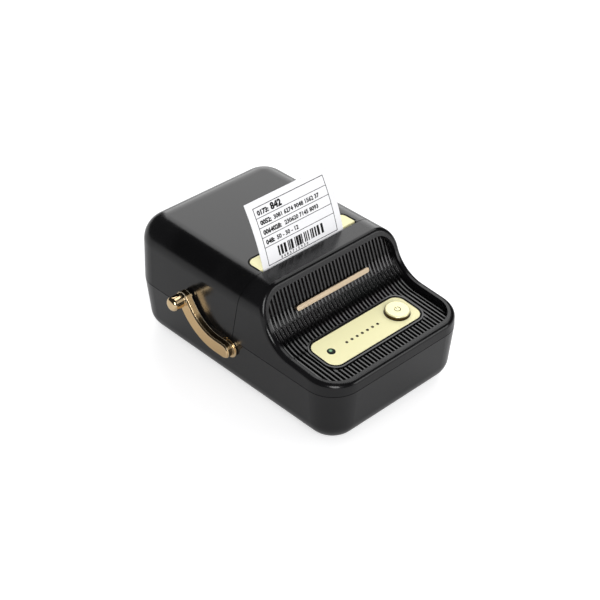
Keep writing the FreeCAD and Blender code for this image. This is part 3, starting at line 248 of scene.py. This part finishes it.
def ribBlack():
    # ribbed panel: each rib's crest is flat with rounded edges, its height falling with the sixth power of the way
    # from its middle; the bed round the plate stays flat
    s = ribSet
    material, p = newPaint("ribBlack")
    x, y, _ = p.axes()
    grain = p.noise(s["grainScale"])
    low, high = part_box("control_plate")
    half = (high - low) / 2
    bed = (abs(x - plateMiddle.x) < half.x + s["border"]) * (abs(y - plateMiddle.y) < half.y + s["border"])
    aside = ((x / s["pitch"]).fraction() - 0.5) * (2 * s["pitch"] / s["width"])
    crown = (1 - abs(aside) ** 6).atLeast(0.0) * (1 - bed)
    p.surface(
        Base_Color=p.blend(grain, s["deep"], s["pale"]),
        Roughness=s["rough"] + s["grain"] * grain,
        IOR=s["ior"],
        Normal=p.bump(crown, s["crown"]))
    return material


goldSet = dict(
    bright=rgb(0.96, 0.92, 0.55), deep=rgb(0.92, 0.87, 0.50), rough=0.42, metal=0.03, gloss=0.3,
    cloud=0.6, cloudScale=45, tint=0.3, brush=0.1, brushAlong=30, brushAcross=2400, brushDepth=0.002 * mm)


def paleGold():
    # pale anodised sheet, brushed along X
    s = goldSet
    material, p = newPaint("paleGold")
    lines = p.streaks(s["brushAlong"], s["brushAcross"])
    cloud = p.noise(s["cloudScale"])
    p.surface(
        Base_Color=p.blend(cloud * s["cloud"] + lines * s["tint"], s["bright"], s["deep"]),
        Metallic=s["metal"],
        Roughness=s["rough"] + s["brush"] * lines,
        Specular_IOR_Level=s["gloss"],
        Normal=p.bump(lines, s["brushDepth"]))
    return material


# side: painted shade, a near-black colour for the cap's side wall
buttonSet = dict(
    rise=2.0 * mm, side=rgb(0.07, 0.045, 0.018), crownFrom=0.5 * mm, crownTo=0.3 * mm, coated=0.6,
    rough=0.26, cloud=0.06, cloudScale=90, ring=0.03, ringRate=24000, ringDepth=0.001 * mm)


def buttonGold():
    # turned cap: fine rings round its own middle, and a side below the bright crown painted near-black as painted
    # shade, standing in for the dark it mirrors
    s = buttonSet
    material, p = newPaint("buttonGold")
    _, y, z = p.axes()
    rings = (p.radiusFrom(middleOf("power_button")) * s["ringRate"]).wave()
    cloud = p.noise(s["cloudScale"])
    height = (z - plateMiddle.z) * plateCos - (y - plateMiddle.y) * plateSin - plateSet["thickness"] / 2
    crown = height.smooth(s["rise"] - s["crownFrom"], s["rise"] - s["crownTo"])
    top = p.blend(cloud, goldSet["bright"], goldSet["deep"])
    # the side below the crown takes the near-black colour: painted shade
    p.surface(
        Base_Color=p.blend(crown, s["side"], top),
        Metallic=1.0 - s["coated"] * crown,
        Roughness=s["rough"] + s["ring"] * rings + s["cloud"] * cloud,
        Normal=p.bump(rings, s["ringDepth"]))
    return material


# The pale edge colour is partly wear and partly a painted highlight.
leverSet = dict(
    bright=rgb(0.80, 0.56, 0.29), deep=rgb(0.70, 0.48, 0.24), wearAndHighlight=rgb(0.94, 0.84, 0.64), dulled=0.6,
    rough=0.16, cloud=0.1, cloudScale=120, grain=0.04, grainScale=4200,
    edge=0.3 * mm, edgeReach=0.6 * mm, edgeFrom=0.01, edgeTo=0.13)


def leverGold():
    # satin coated metal with softened edges, paler and less metallic along them: partly wear, partly a painted
    # highlight along the edges
    s = leverSet
    material, p = newPaint("leverGold")
    cloud = p.noise(s["cloudScale"], detail=4)
    grain = p.noise(s["grainScale"])
    wearAndHighlight = p.sharpEdgeMask(s["edgeReach"], s["edgeFrom"], s["edgeTo"])
    coat = p.blend(cloud, s["bright"], s["deep"])
    p.surface(
        Base_Color=p.blend(wearAndHighlight, coat, s["wearAndHighlight"]),
        Metallic=1.0 - s["dulled"] * wearAndHighlight,
        Roughness=s["rough"] + s["cloud"] * cloud + s["grain"] * grain,
        Normal=p.softEdges(s["edge"]))
    return material


knobSet = dict(
    bright=rgb(0.86, 0.66, 0.40), deep=rgb(0.74, 0.54, 0.30), rough=0.05, cloud=0.06, cloudScale=160, edge=0.35 * mm)


def knobGold():
    # the turned knob and bush: the same metal, polished
    s = knobSet
    material, p = newPaint("knobGold")
    cloud = p.noise(s["cloudScale"], detail=4)
    p.surface(
        Base_Color=p.blend(cloud, s["bright"], s["deep"]),
        Metallic=1.0,
        Roughness=s["rough"] + s["cloud"] * cloud,
        Normal=p.softEdges(s["edge"]))
    return material


lensSet = dict(
    rim=rgb(0.0, 0.006, 0.003), glowAndGlint=rgb(0.20, 0.40, 0.22), dark=rgb(0.0, 0.0, 0.0), inner=0.25 * mm, outer=1.1 * mm,
    rough=0.2, haze=0.1, hazeScale=900, gloss=0.15, glow=0.3)


def lampGreen():
    # dark green light pipe with a pale middle: its own glow, and a painted highlight standing in for the glint on the
    # lens
    s = lensSet
    material, p = newPaint("lampGreen")
    # the pale middle is partly the light's glow and partly a painted highlight
    glowAndGlint = 1 - p.radiusFrom(middleOf("lamp_lens")).smooth(s["inner"], s["outer"])
    p.surface(
        Base_Color=p.blend(glowAndGlint, s["rim"], s["glowAndGlint"]),
        Roughness=s["rough"] + s["haze"] * p.noise(s["hazeScale"]),
        Specular_IOR_Level=s["gloss"],
        Emission_Color=p.blend(glowAndGlint, s["dark"], s["glowAndGlint"]),
        Emission_Strength=s["glow"])
    return material


paperSet = dict(
    bright=rgb(0.87, 0.87, 0.88), dull=rgb(0.82, 0.82, 0.835), rough=0.5, gloss=0.2,
    cloudScale=70, fibre=0.12, fibreAlong=500, fibreAcross=1500, fibreDepth=0.003 * mm)


def labelPaper():
    # coated thermal paper with a faint fibre
    s = paperSet
    material, p = newPaint("labelPaper")
    fibre = p.streaks(s["fibreAlong"], s["fibreAcross"])
    cloud = p.noise(s["cloudScale"])
    p.surface(
        Base_Color=p.blend(fibre * 0.5 + cloud * 0.5, s["bright"], s["dull"]),
        Roughness=s["rough"] + s["fibre"] * fibre,
        Specular_IOR_Level=s["gloss"],
        Normal=p.bump(fibre, s["fibreDepth"]))
    return material


rollSet = dict(
    ringPitch=0.42 * mm, ringShade=0.55, ringDepth=0.03 * mm, labelPitch=33.0 * mm, gap=3.0 * mm, gapStart=0.2,
    skin=0.3 * mm, liner=rgb(0.70, 0.62, 0.44), rough=0.5, fibre=0.15, fibreScale=700)


def rollPaper():
    # wound stock: rings on the ends, and bare liner between the labels round the outside
    s = rollSet
    material, p = newPaint("rollPaper")
    _, y, z = p.axes()
    low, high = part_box("label_roll")
    middle = (low + high) / 2
    full = (high.z - low.z) / 2
    across, up = y - middle.y, z - middle.z
    radius = (across ** 2 + up ** 2) ** 0.5
    rings = (radius * (2 * math.pi / s["ringPitch"])).wave() * 0.5 + 0.5
    along = (up.angleOver(across) * (full / s["labelPitch"]) + s["gapStart"]).fraction()
    outside = radius.smooth(full - s["skin"], full - s["skin"] / 3)
    gap = (along < s["gap"] / s["labelPitch"]) * outside
    fibre = p.noise(s["fibreScale"], detail=4)
    white = p.blend(fibre, paperSet["bright"], paperSet["dull"])
    ends = p.blend(rings * (1 - outside) * s["ringShade"], white, s["liner"])
    p.surface(
        Base_Color=p.blend(gap, ends, s["liner"]),
        Roughness=s["rough"] + s["fibre"] * fibre,
        Normal=p.bump(rings * (1 - outside), s["ringDepth"]))
    return material


coreSet = dict(
    pale=rgb(0.46, 0.34, 0.21), deep=rgb(0.34, 0.24, 0.14), rough=0.75, fibre=0.15,
    fibreAlong=300, fibreAcross=1800, fibreDepth=0.03 * mm)


def cardCore():
    # wound grey-brown card
    s = coreSet
    material, p = newPaint("cardCore")
    fibre = p.streaks(s["fibreAlong"], s["fibreAcross"])
    p.surface(
        Base_Color=p.blend(fibre, s["pale"], s["deep"]),
        Roughness=s["rough"] + s["fibre"] * fibre,
        Normal=p.bump(fibre, s["fibreDepth"]))
    return material


rubberSet = dict(
    deep=rgb(0.018, 0.018, 0.018), pale=rgb(0.035, 0.035, 0.034), rough=0.62, grain=0.2, grainScale=1800,
    grainDepth=0.02 * mm)


def softRubber():
    # matt black rubber
    s = rubberSet
    material, p = newPaint("softRubber")
    grain = p.noise(s["grainScale"], detail=4)
    p.surface(
        Base_Color=p.blend(grain, s["deep"], s["pale"]),
        Roughness=s["rough"] + s["grain"] * grain,
        Normal=p.bump(grain, s["grainDepth"]))
    return material


metalSet = dict(cloudScale=150, streak=0.14, streakAlong=40, streakAcross=1900, streakDepth=0.004 * mm)


def drawnMetal(name, bright, deep, rough):
    # drawn or rolled metal: streaks along X and a patchy sheen
    s = metalSet
    material, p = newPaint(name)
    streak = p.streaks(s["streakAlong"], s["streakAcross"])
    cloud = p.noise(s["cloudScale"])
    p.surface(
        Base_Color=p.blend(streak * 0.5 + cloud * 0.5, bright, deep),
        Metallic=1.0,
        Roughness=rough + s["streak"] * streak,
        Normal=p.bump(streak, s["streakDepth"]))
    return material


plasticSet = dict(cloudScale=90, grain=0.12, grainScale=2600, grainDepth=0.008 * mm)


def mouldedPlastic(name, pale, deep, rough):
    # plain moulding with a fine grain
    s = plasticSet
    material, p = newPaint(name)
    cloud = p.noise(s["cloudScale"], detail=4)
    grain = p.noise(s["grainScale"])
    p.surface(
        Base_Color=p.blend(cloud, pale, deep),
        Roughness=rough + s["grain"] * grain,
        Normal=p.bump(grain, s["grainDepth"]))
    return material


boardSet = dict(
    mask=rgb(0.006, 0.075, 0.035), copper=rgb(0.02, 0.15, 0.06), rough=0.34, haze=0.1, hazeScale=1200,
    runRate=900, runsX=0.75, runsY=0.8, patchScale=160, patch=0.52, runDepth=0.03 * mm)


def solderMask():
    # green board: straight copper runs just under the mask, in patches
    s = boardSet
    material, p = newPaint("solderMask")
    x, y, _ = p.axes()
    runs = ((x * s["runRate"]).wave() > s["runsX"]) + ((y * s["runRate"]).wave() > s["runsY"])
    track = runs * (p.noise(s["patchScale"], detail=0.0) > s["patch"])
    p.surface(
        Base_Color=p.blend(track, s["mask"], s["copper"]),
        Roughness=s["rough"] + s["haze"] * p.noise(s["hazeScale"]),
        Normal=p.bump(track, s["runDepth"]))
    return material


glazeSet = dict(pale=rgb(0.72, 0.70, 0.66), deep=rgb(0.60, 0.58, 0.54), rough=0.16, cloud=0.1, cloudScale=200)


def glazedStrip():
    # pale glazed ceramic
    s = glazeSet
    material, p = newPaint("glazedStrip")
    cloud = p.noise(s["cloudScale"])
    p.surface(
        Base_Color=p.blend(cloud, s["pale"], s["deep"]),
        Roughness=s["rough"] + s["cloud"] * cloud)
    return material


# Print and paint lie a little proud of what carries them and reach just into it.
inkSet = dict(lift=0.02 * mm, skin=0.03 * mm, rough=0.5, speck=0.1, speckScale=4800)


def flatInk(name, deep, pale, gloss):
    # print or paint that is not quite solid
    s = inkSet
    material, p = newPaint(name)
    speck = p.noise(s["speckScale"])
    p.surface(
        Base_Color=p.blend(speck, deep, pale),
        Roughness=s["rough"] + s["speck"] * speck,
        Specular_IOR_Level=gloss)
    return material


finishes = {
    "glossBlack": glossBlack(),
    "baseBlack": baseBlack(),
    "ribBlack": ribBlack(),
    "paleGold": paleGold(),
    "buttonGold": buttonGold(),
    "leverGold": leverGold(),
    "knobGold": knobGold(),
    "lampGreen": lampGreen(),
    "labelPaper": labelPaper(),
    "rollPaper": rollPaper(),
    "cardCore": cardCore(),
    "softRubber": softRubber(),
    "plainSteel": drawnMetal("plainSteel", rgb(0.60, 0.60, 0.61), rgb(0.46, 0.46, 0.47), 0.24),
    "sheetSteel": drawnMetal("sheetSteel", rgb(0.64, 0.65, 0.66), rgb(0.52, 0.53, 0.55), 0.32),
    "nameGold": drawnMetal("nameGold", rgb(0.62, 0.50, 0.36), rgb(0.50, 0.40, 0.28), 0.36),
    "rawAluminium": drawnMetal("rawAluminium", rgb(0.76, 0.77, 0.78), rgb(0.62, 0.63, 0.64), 0.36),
    "gearPlastic": mouldedPlastic("gearPlastic", rgb(0.78, 0.76, 0.69), rgb(0.70, 0.68, 0.61), 0.38),
    "innerPlastic": mouldedPlastic("innerPlastic", rgb(0.035, 0.035, 0.037), rgb(0.025, 0.025, 0.027), 0.42),
    "batteryWrap": mouldedPlastic("batteryWrap", rgb(0.05, 0.10, 0.26), rgb(0.035, 0.075, 0.20), 0.28),
    "solderMask": solderMask(),
    "glazedStrip": glazedStrip(),
    "printInk": flatInk("printInk", rgb(0.004, 0.004, 0.005), rgb(0.014, 0.014, 0.015), 0.1),
    "markPaint": flatInk("markPaint", rgb(0.02, 0.015, 0.008), rgb(0.04, 0.03, 0.015), 0.15),
    # painted shade: a near-black coat laid on gaps, recesses and screw slots
    "paintedShade": flatInk("paintedShade", rgb(0.003, 0.003, 0.003), rgb(0.008, 0.008, 0.008), 0.05),
}
wearers = {
    "glossBlack": ["front_shell", "lid_shell"],
    "baseBlack": ["base_shell"],
    "ribBlack": ["grille_panel"],
    "paleGold": ["control_plate", "tear_plate"],
    "nameGold": ["name_bar"],
    "buttonGold": ["power_button"],
    "leverGold": ["lever_arm"],
    "knobGold": ["lever_knob", "lever_bush"],
    "lampGreen": ["lamp_lens", "status_led"],
    "labelPaper": ["printed_label", "label_web"],
    "rollPaper": ["label_roll"],
    "cardCore": ["roll_core"],
    "softRubber": ["platen_roller", "foot_ring"],
    "plainSteel": [
        "lever_shaft", "hinge_pin", "platen_shaft", "motor_pinion", "idler_stud", "head_spring",
        "case_screws", "board_screws", "mech_screws", "bracket_screws", "usb_socket"],
    "sheetSteel": ["mech_frame", "platen_bracket", "stepper_motor"],
    "rawAluminium": ["head_heatsink"],
    "gearPlastic": ["platen_gear", "idler_gear"],
    "innerPlastic": ["roll_cradle", "release_arm", "platen_bushes", "gap_sensor", "tact_switch"],
    "batteryWrap": ["battery_pack"],
    "solderMask": ["main_board"],
    "glazedStrip": ["thermal_head"],
}
for finish, nodes in wearers.items():
    for node in nodes:
        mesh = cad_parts[node].data
        mesh.materials.clear()
        mesh.materials.append(finishes[finish])
print("finishes:", len(finishes))


def putMesh(name, points, faces, finish, body, skin=0.0):
    # one finished piece from its points and faces, in the frame's own metres
    mesh = bpy.data.meshes.new(name)
    mesh.from_pydata(points.reshape(-1, 3).tolist(), [], faces.tolist())
    mesh.materials.append(finishes[finish])
    mesh.validate()
    piece = bpy.data.objects.new(name, mesh)
    scene.collection.objects.link(piece)
    if skin:
        # a flat piece is closed behind its face
        thicken = piece.modifiers.new("skin", "SOLIDIFY")
        thicken.thickness = skin
        thicken.offset = -1.0
    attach(piece, body)


def gridFaces(rows, columns, wrapRows=False):
    # quads of a grid of points, row by row, joined round where asked
    i = np.arange(rows if wrapRows else rows - 1)[:, None]
    j = np.arange(columns - 1)[None, :]
    below = (i + 1) % rows
    quad = [i * columns + j, i * columns + j + 1, below * columns + j + 1, below * columns + j]
    return np.stack(quad, -1).reshape(-1, 4)


def manyFaces(faces, count, step):
    # the same faces once for each of several alike patches
    return (faces[None] + (np.arange(count) * step)[:, None, None]).reshape(-1, faces.shape[1])


def vertexSpots(mesh):
    spots = np.zeros(len(mesh.vertices) * 3)
    mesh.vertices.foreach_get("co", spots)
    return spots.reshape(-1, 3)


# The label bends round an axis behind it; its lower edge and its back give that axis.
labelSet = dict(curl=109.0 * mm, thickness=0.2 * mm, lean=math.radians(14.0))


def labelFrame():
    s = labelSet
    low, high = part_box("printed_label")
    spots = vertexSpots(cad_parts["printed_label"].data)
    back = spots[spots[:, 2] < low.z + flush, 1].max()
    axis = (back + s["curl"] * math.cos(s["lean"]), low.z - s["curl"] * math.sin(s["lean"]))
    return low.x, high.z, axis


labelLeft, labelTop, labelAxis = labelFrame()


def onLabel(across, down):
    # a point of the label's face: along X from its left edge, and down its arc from its top edge
    face = labelSet["curl"] + labelSet["thickness"]
    turn = math.asin((labelTop - labelAxis[1]) / face) - down / face
    reach = face + inkSet["lift"]
    return np.stack([
        labelLeft + across, labelAxis[0] - reach * np.cos(turn), labelAxis[1] + reach * np.sin(turn)], -1)


# Lengths on the label in millimetres, from its top left corner.
printSet = dict(
    left=3.7, right=46.4, rows=[3.1, 7.9, 12.5, 17.1, 21.7, 30.2], line=0.34, rule=0.28,
    barsLeft=9.4, barsRight=39.6, barsTop=23.4, barsBottom=28.1, widths=[0.4, 0.5, 0.8, 1.2], spread=0.08,
    draws=80, seed=7, steps=7)


def labelPrint():
    # ruled frame, row lines and a made-up bar code: each a patch straight across and bent down the arc
    s = printSet
    top, bottom = s["rows"][0], s["rows"][-1]
    half, thin = s["line"] / 2, s["rule"] / 2
    boxes = [(s["left"] - half, s["right"] + half, row - half, row + half) for row in (top, bottom)]
    boxes += [(side - half, side + half, top + half, bottom - half) for side in (s["left"], s["right"])]
    boxes += [(s["left"] + half, s["right"] - half, row - thin, row + thin) for row in s["rows"][1:-1]]
    ends = np.cumsum(np.random.default_rng(s["seed"]).choice(s["widths"], s["draws"]))
    edges = s["barsLeft"] + ends[ends < s["barsRight"] - s["barsLeft"]]
    bars = zip(edges[0::2] - s["spread"], edges[1::2] + s["spread"])
    boxes += [(left, right, s["barsTop"], s["barsBottom"]) for left, right in bars]
    left, right, high, low = (np.array(boxes) * mm).T[:, :, None, None]
    u, v = np.linspace(0, 1, 2)[None, None, :], np.linspace(0, 1, s["steps"])[None, :, None]
    across, down = np.broadcast_arrays(left + (right - left) * u, high + (low - high) * v)
    faces = manyFaces(gridFaces(s["steps"], 2)[:, ::-1], len(boxes), 2 * s["steps"])
    putMesh("labelPrint", onLabel(across, down), faces, "printInk", "label", inkSet["skin"])


# Each run of figures: text, height, left end and foot on the label in millimetres, and how bold. A figure's height is
# multiplied by typeSize for the font.
figureSet = dict(typeSize=1.38, fineness=2, runs=[
    ("0173:", 2.2, 5.2, 6.8, 0.075), ("842", 3.1, 13.2, 6.9, 0.07),
    ("0052:", 2.1, 5.2, 11.4, 0.075), ("3081 6274 9048 1562 37", 2.0, 13.0, 11.4, 0.055),
    ("0064028:", 2.1, 5.2, 16.0, 0.075), ("230620 7145 8093", 2.0, 18.0, 16.0, 0.055),
    ("048:", 2.1, 5.2, 20.6, 0.075), ("50 - 30 - 12", 2.0, 11.6, 20.6, 0.055),
    ("0  4  8  2  7  1  5  9  3  0", 1.2, 11.4, 29.7, 0.05)])


def flatFigures(words, height, bold):
    # points and triangles of a line of text, flat, in millimetres
    curve = bpy.data.curves.new("figures", "FONT")
    curve.body = words
    curve.size = height * figureSet["typeSize"]
    curve.offset = bold * height
    curve.resolution_u = figureSet["fineness"]
    holder = bpy.data.objects.new("figures", curve)
    scene.collection.objects.link(holder)
    bpy.context.view_layer.update()
    flat = bpy.data.meshes.new_from_object(holder.evaluated_get(bpy.context.evaluated_depsgraph_get()))
    flat.calc_loop_triangles()
    corners = np.zeros(len(flat.loop_triangles) * 3, int)
    flat.loop_triangles.foreach_get("vertices", corners)
    spots = vertexSpots(flat)
    bpy.data.objects.remove(holder)
    bpy.data.meshes.remove(flat)
    bpy.data.curves.remove(curve)
    return spots, corners.reshape(-1, 3)


def labelFigures():
    # rows of plain figures: a text's own outline laid on the label's arc
    points, faces, start = [], [], 0
    for words, height, left, foot, bold in figureSet["runs"]:
        spots, corners = flatFigures(words, height, bold)
        points.append(onLabel((left + spots[:, 0]) * mm, (foot - spots[:, 1]) * mm))
        faces.append(corners + start)
        start += len(spots)
    putMesh(
        "labelFigures", np.concatenate(points), np.concatenate(faces), "printInk", "label",
        inkSet["skin"])


def onPlate(x, y, height):
    # a point over the sloping plate: X, distance up its slope, and height square to its top, a coat of ink higher
    square = np.full_like(x, height + inkSet["lift"]) + plateSet["thickness"] / 2
    deep = plateMiddle.y + y * plateCos - square * plateSin
    return np.stack([x, deep, plateMiddle.z + y * plateSin + square * plateCos], -1)


signSet = dict(ring=1.45 * mm, line=0.19 * mm, gap=38.0, barFoot=0.5 * mm, barTop=1.9 * mm, steps=40)


def powerSign():
    # an open ring and a short bar: a strip swept round an arc, then a straight strip
    s = signSet
    middle = middleOf("power_button").x
    side = np.array([-s["line"], s["line"]])[None, :]
    turn = np.radians(np.linspace(90 + s["gap"], 450 - s["gap"], s["steps"]))[:, None]
    ringX, ringY = (s["ring"] + side) * np.cos(turn), (s["ring"] + side) * np.sin(turn)
    barX, barY = np.broadcast_arrays(side, np.array([[s["barFoot"]], [s["barTop"]]]))
    x = middle + np.concatenate([ringX, barX])
    y = np.concatenate([ringY, barY])
    faces = np.concatenate([gridFaces(s["steps"], 2)[:, ::-1], gridFaces(2, 2) + 2 * s["steps"]])
    putMesh(
        "powerSign", onPlate(x, y, buttonSet["rise"]), faces, "markPaint", "button", inkSet["skin"])


dotSet = dict(first=-12.6 * mm, last=7.2 * mm, count=7, radius=0.72 * mm, sides=24)


def plateDots():
    # a plain row of filled dots along the plate: each a fan of triangles from its middle to a circle
    s = dotSet
    edge = np.arange(s["sides"])
    turn = edge * (2 * math.pi / s["sides"])
    circle = np.concatenate([[[0.0, 0.0]], s["radius"] * np.stack([np.cos(turn), np.sin(turn)], -1)])
    middle = np.linspace(s["first"], s["last"], s["count"])[:, None]
    x, y = np.broadcast_arrays(middle + circle[:, 0], circle[:, 1])
    fan = np.stack([np.zeros_like(edge), edge + 1, (edge + 1) % s["sides"] + 1], -1)
    faces = manyFaces(fan, s["count"], s["sides"] + 1)
    putMesh("plateDots", onPlate(x, y, 0.0), faces, "markPaint", "base", inkSet["skin"])


ringSet = dict(inner=1.5 * mm, outer=2.0 * mm, sides=40)


def lampRing():
    # painted shade round the lamp, where its recessed bezel lies: one turn of a narrow strip
    s = ringSet
    turn = (np.arange(s["sides"]) * (2 * math.pi / s["sides"]))[:, None]
    reach = np.array([s["inner"], s["outer"]])[None, :]
    x, y = middleOf("lamp_lens").x + reach * np.cos(turn), reach * np.sin(turn)
    faces = gridFaces(s["sides"], 2, True)[:, ::-1]
    putMesh("lampRing", onPlate(x, y, 0.0), faces, "paintedShade", "base", inkSet["skin"])


def roundedStrip(low, high, corner, arcs, edges, steps=12):
    # a strip beside a rectangle's rounded edge: quarter arcs, clockwise from the rear left, pushed out to its two edges
    turn = np.radians(180 - 90 * (np.arange(arcs)[:, None] + np.linspace(0, 1, steps)[None, :]))
    outward = np.stack([np.cos(turn), np.sin(turn)], -1)
    left, right, front, rear = low[0] + corner, high[0] - corner, low[1] + corner, high[1] - corner
    centres = np.array([[left, rear], [right, rear], [right, front], [left, front]])[:arcs, None, None, :]
    reach = corner + np.array(edges)[None, None, :, None]
    return (centres + outward[:, :, None, :] * reach).reshape(-1, 2, 2)


gapSet = dict(corner=4.0 * mm, edges=(0.03 * mm, 0.95 * mm))


def tearGap():
    # shadow line round the tear plate's sides and back, drawn on to the plate's front corners
    s = gapSet
    low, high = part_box("tear_plate")
    flat = roundedStrip(low, high, s["corner"], 2, s["edges"])
    flat = np.concatenate([flat[:1], flat, flat[-1:]])
    flat[[0, -1], :, 1] = low.y
    top = np.full(flat.shape[:2] + (1,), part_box("lid_shell")[1].z + inkSet["lift"])
    faces = gridFaces(len(flat), 2)[:, ::-1]
    putMesh("tearGap", np.concatenate([flat, top], -1), faces, "paintedShade", "lid", inkSet["skin"])


borderSet = dict(edges=(0.15 * mm, 0.95 * mm), above=0.2 * mm)


def plateGap():
    # shadow line round the control plate, on the border that stands a little above it
    s = borderSet
    low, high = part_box("control_plate")
    depth = plateSet["halfDepth"]
    flat = roundedStrip((low.x, -depth), (high.x, depth), plateSet["corner"], 4, s["edges"])
    points = onPlate(flat[..., 0], flat[..., 1], s["above"])
    faces = gridFaces(len(flat), 2, True)[:, ::-1]
    putMesh("plateGap", points, faces, "paintedShade", "base", inkSet["skin"])


toothSet = dict(pitch=1.2 * mm, depth=0.2 * mm, root=0.05 * mm, height=0.6 * mm)


def tearTeeth():
    # saw teeth along the tear plate's front edge: a zigzag line swept into a thin closed strip
    s = toothSet
    low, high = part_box("tear_plate")
    count = int((high.x - low.x) / s["pitch"])
    columns = 2 * count + 1
    x = (low.x + high.x) / 2 + np.linspace(-0.5, 0.5, columns) * count * s["pitch"]
    zigzag = low.y - s["depth"] * (np.arange(columns) % 2)
    behind = np.full_like(x, low.y + s["root"])
    top, foot = np.full_like(x, high.z), np.full_like(x, high.z - s["height"])
    rows = [(x, behind, top), (x, zigzag, top), (x, zigzag, foot), (x, behind, foot)]
    points = np.stack([np.stack(row, -1) for row in rows])
    # one face closes the strip at each end
    ends = np.array([[3, 2, 1, 0], [0, 1, 2, 3]]) * columns + [[0], [columns - 1]]
    faces = np.concatenate([gridFaces(len(rows), columns, True)[:, ::-1], ends])
    putMesh("tearTeeth", points, faces, "paleGold", "lid")


# Shares of a screw head's radius.
crossSet = dict(arm=0.62, width=0.17)


def screwCrosses(name, node, twoRows, facing, body):
    # painted shade in a cross on each screw head, standing for its slots, found from the points of the heads' end faces
    spots = vertexSpots(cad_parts[node].data)
    end = spots[:, 2].max() if facing > 0 else spots[:, 2].min()
    flat = spots[np.abs(spots[:, 2] - end) < flush]
    middle = (flat.min(0) + flat.max(0)) / 2
    group = (flat[:, 0] > middle[0]) * 2 + (flat[:, 1] > middle[1]) * twoRows
    heads = [flat[group == kind] for kind in np.unique(group)]
    radius = (heads[0][:, 0].max() - heads[0][:, 0].min()) / 2
    centres = np.array([(head.min(0) + head.max(0)) / 2 for head in heads])
    arm, width = crossSet["arm"] * radius, crossSet["width"] * radius
    bars = np.array([
        [[-arm, -width], [arm, -width], [arm, width], [-arm, width]],
        [[-width, width], [width, width], [width, arm], [-width, arm]],
        [[-width, -arm], [width, -arm], [width, -width], [-width, -width]]])
    points = np.zeros((len(heads), len(bars), 4, 3))
    points[..., :2] = centres[:, None, None, :2] + bars[None]
    points[..., 2] = end + facing * inkSet["lift"]
    corners = np.arange(4)[None] if facing > 0 else np.arange(4)[None, ::-1]
    faces = manyFaces(corners, len(bars) * len(heads), 4)
    putMesh(name, points, faces, "paintedShade", body, inkSet["skin"])


labelPrint()
labelFigures()
powerSign()
plateDots()
lampRing()
tearGap()
plateGap()
tearTeeth()
screwCrosses("caseCrosses", "case_screws", True, -1, "base")
screwCrosses("mechCrosses", "mech_screws", False, 1, "base")
screwCrosses("bracketCrosses", "bracket_screws", False, -1, "lid")
print("pieces placed")


floorSet = dict(
    half=3.0, drop=-0.1 * mm, colour=rgb(0.69, 0.69, 0.69), dull=rgb(0.67, 0.67, 0.67), cloudScale=30,
    light=rgb(1.0, 1.0, 1.0), glow=0.54, mirrored=0.06)


def studioFloor():
    # one flat pale sheet under the object, lifted to white as the camera, gloss and metal see it
    s = floorSet
    x, y = np.meshgrid([-s["half"], s["half"]], [-s["half"], s["half"]])
    mesh = bpy.data.meshes.new("studioFloor")
    points = np.stack([x, y, np.full_like(x, s["drop"])], -1)
    mesh.from_pydata(points.reshape(-1, 3).tolist(), [], gridFaces(2, 2).tolist())
    material, p = newPaint("studioFloor")
    tone = p.blend(p.noise(s["cloudScale"]), s["colour"], s["dull"])
    sheet = p.node("BsdfDiffuse", {}, Color=tone)
    glow = p.node("Emission", {}, Color=s["light"], Strength=p.seen(s["mirrored"]) * s["glow"])
    p.end("OutputMaterial", p.node("AddShader", {}, sheet, glow))
    mesh.materials.append(material)
    floor = bpy.data.objects.new("studioFloor", mesh)
    scene.collection.objects.link(floor)


worldSet = dict(fill=rgb(0.53, 0.53, 0.54), white=rgb(1.0, 1.0, 1.0), dim=rgb(0.03, 0.03, 0.031))


def studioWorld():
    # white behind the object, a plain fill as light, and dim walls for the gloss, as the dark fillets show
    world = bpy.data.worlds.new("studio")
    world.use_nodes = True
    scene.world = world
    p = Paint(world.node_tree)
    lit = p.blend(p.node("LightPath", {}, out="Is Glossy Ray"), worldSet["fill"], worldSet["dim"])
    tone = p.blend(p.seen(0.0), lit, worldSet["white"])
    p.end("OutputWorld", p.node("Background", {}, Color=tone))


# Each softbox: name, place and size in metres, power in watts. All look at one point over the floor.
softboxSet = dict(aim=Vector((0, 0, 0.03)), boxes=[
    ("backBox", (0.64, 0.70, 0.50), (0.7, 1.0), 5.3),
    ("keyBox", (-0.62, -0.92, 0.66), (0.5, 0.8), 9.2),
    ("frontBox", (0.62, -0.92, 0.26), (0.5, 0.46), 2.0),
    ("sideBox", (0.56, 0.0, 0.80), (0.5, 0.42), 1.3)])


def studioLamps():
    for name, place, size, power in softboxSet["boxes"]:
        lamp = bpy.data.lights.new(name, "AREA")
        lamp.shape = "RECTANGLE"
        lamp.size, lamp.size_y = size
        lamp.energy = power
        holder = bpy.data.objects.new(name, lamp)
        holder.location = place
        holder.rotation_euler = (softboxSet["aim"] - Vector(place)).to_track_quat("-Z", "Y").to_euler()
        scene.collection.objects.link(holder)


# Angles in degrees, distances in metres, lens and sensor in millimetres.
cameraSet = dict(
    azimuth=-43.33, elevation=35.59, distance=0.67322, aim=Vector((0, 0, 0.035)), nearest=0.01,
    lens=85.623, sensor=36.0, shiftX=0.0062, shiftY=-0.0209)


def photoCamera():
    # where the photograph was taken from, with its own framing
    s = cameraSet
    around, up = math.radians(s["azimuth"]), math.radians(s["elevation"])
    back = Vector((math.sin(around) * math.cos(up), -math.cos(around) * math.cos(up), math.sin(up)))
    lens = bpy.data.cameras.new("photoCamera")
    lens.sensor_fit = "HORIZONTAL"
    lens.sensor_width = s["sensor"]
    lens.lens = s["lens"]
    lens.shift_x, lens.shift_y = s["shiftX"], s["shiftY"]
    lens.clip_start = s["nearest"]
    camera = bpy.data.objects.new("photoCamera", lens)
    camera.location = back * s["distance"] + s["aim"]
    camera.rotation_euler = (-back).to_track_quat("-Z", "Y").to_euler()
    scene.collection.objects.link(camera)
    scene.camera = camera


studioFloor()
studioWorld()
studioLamps()
photoCamera()
print("stage set")
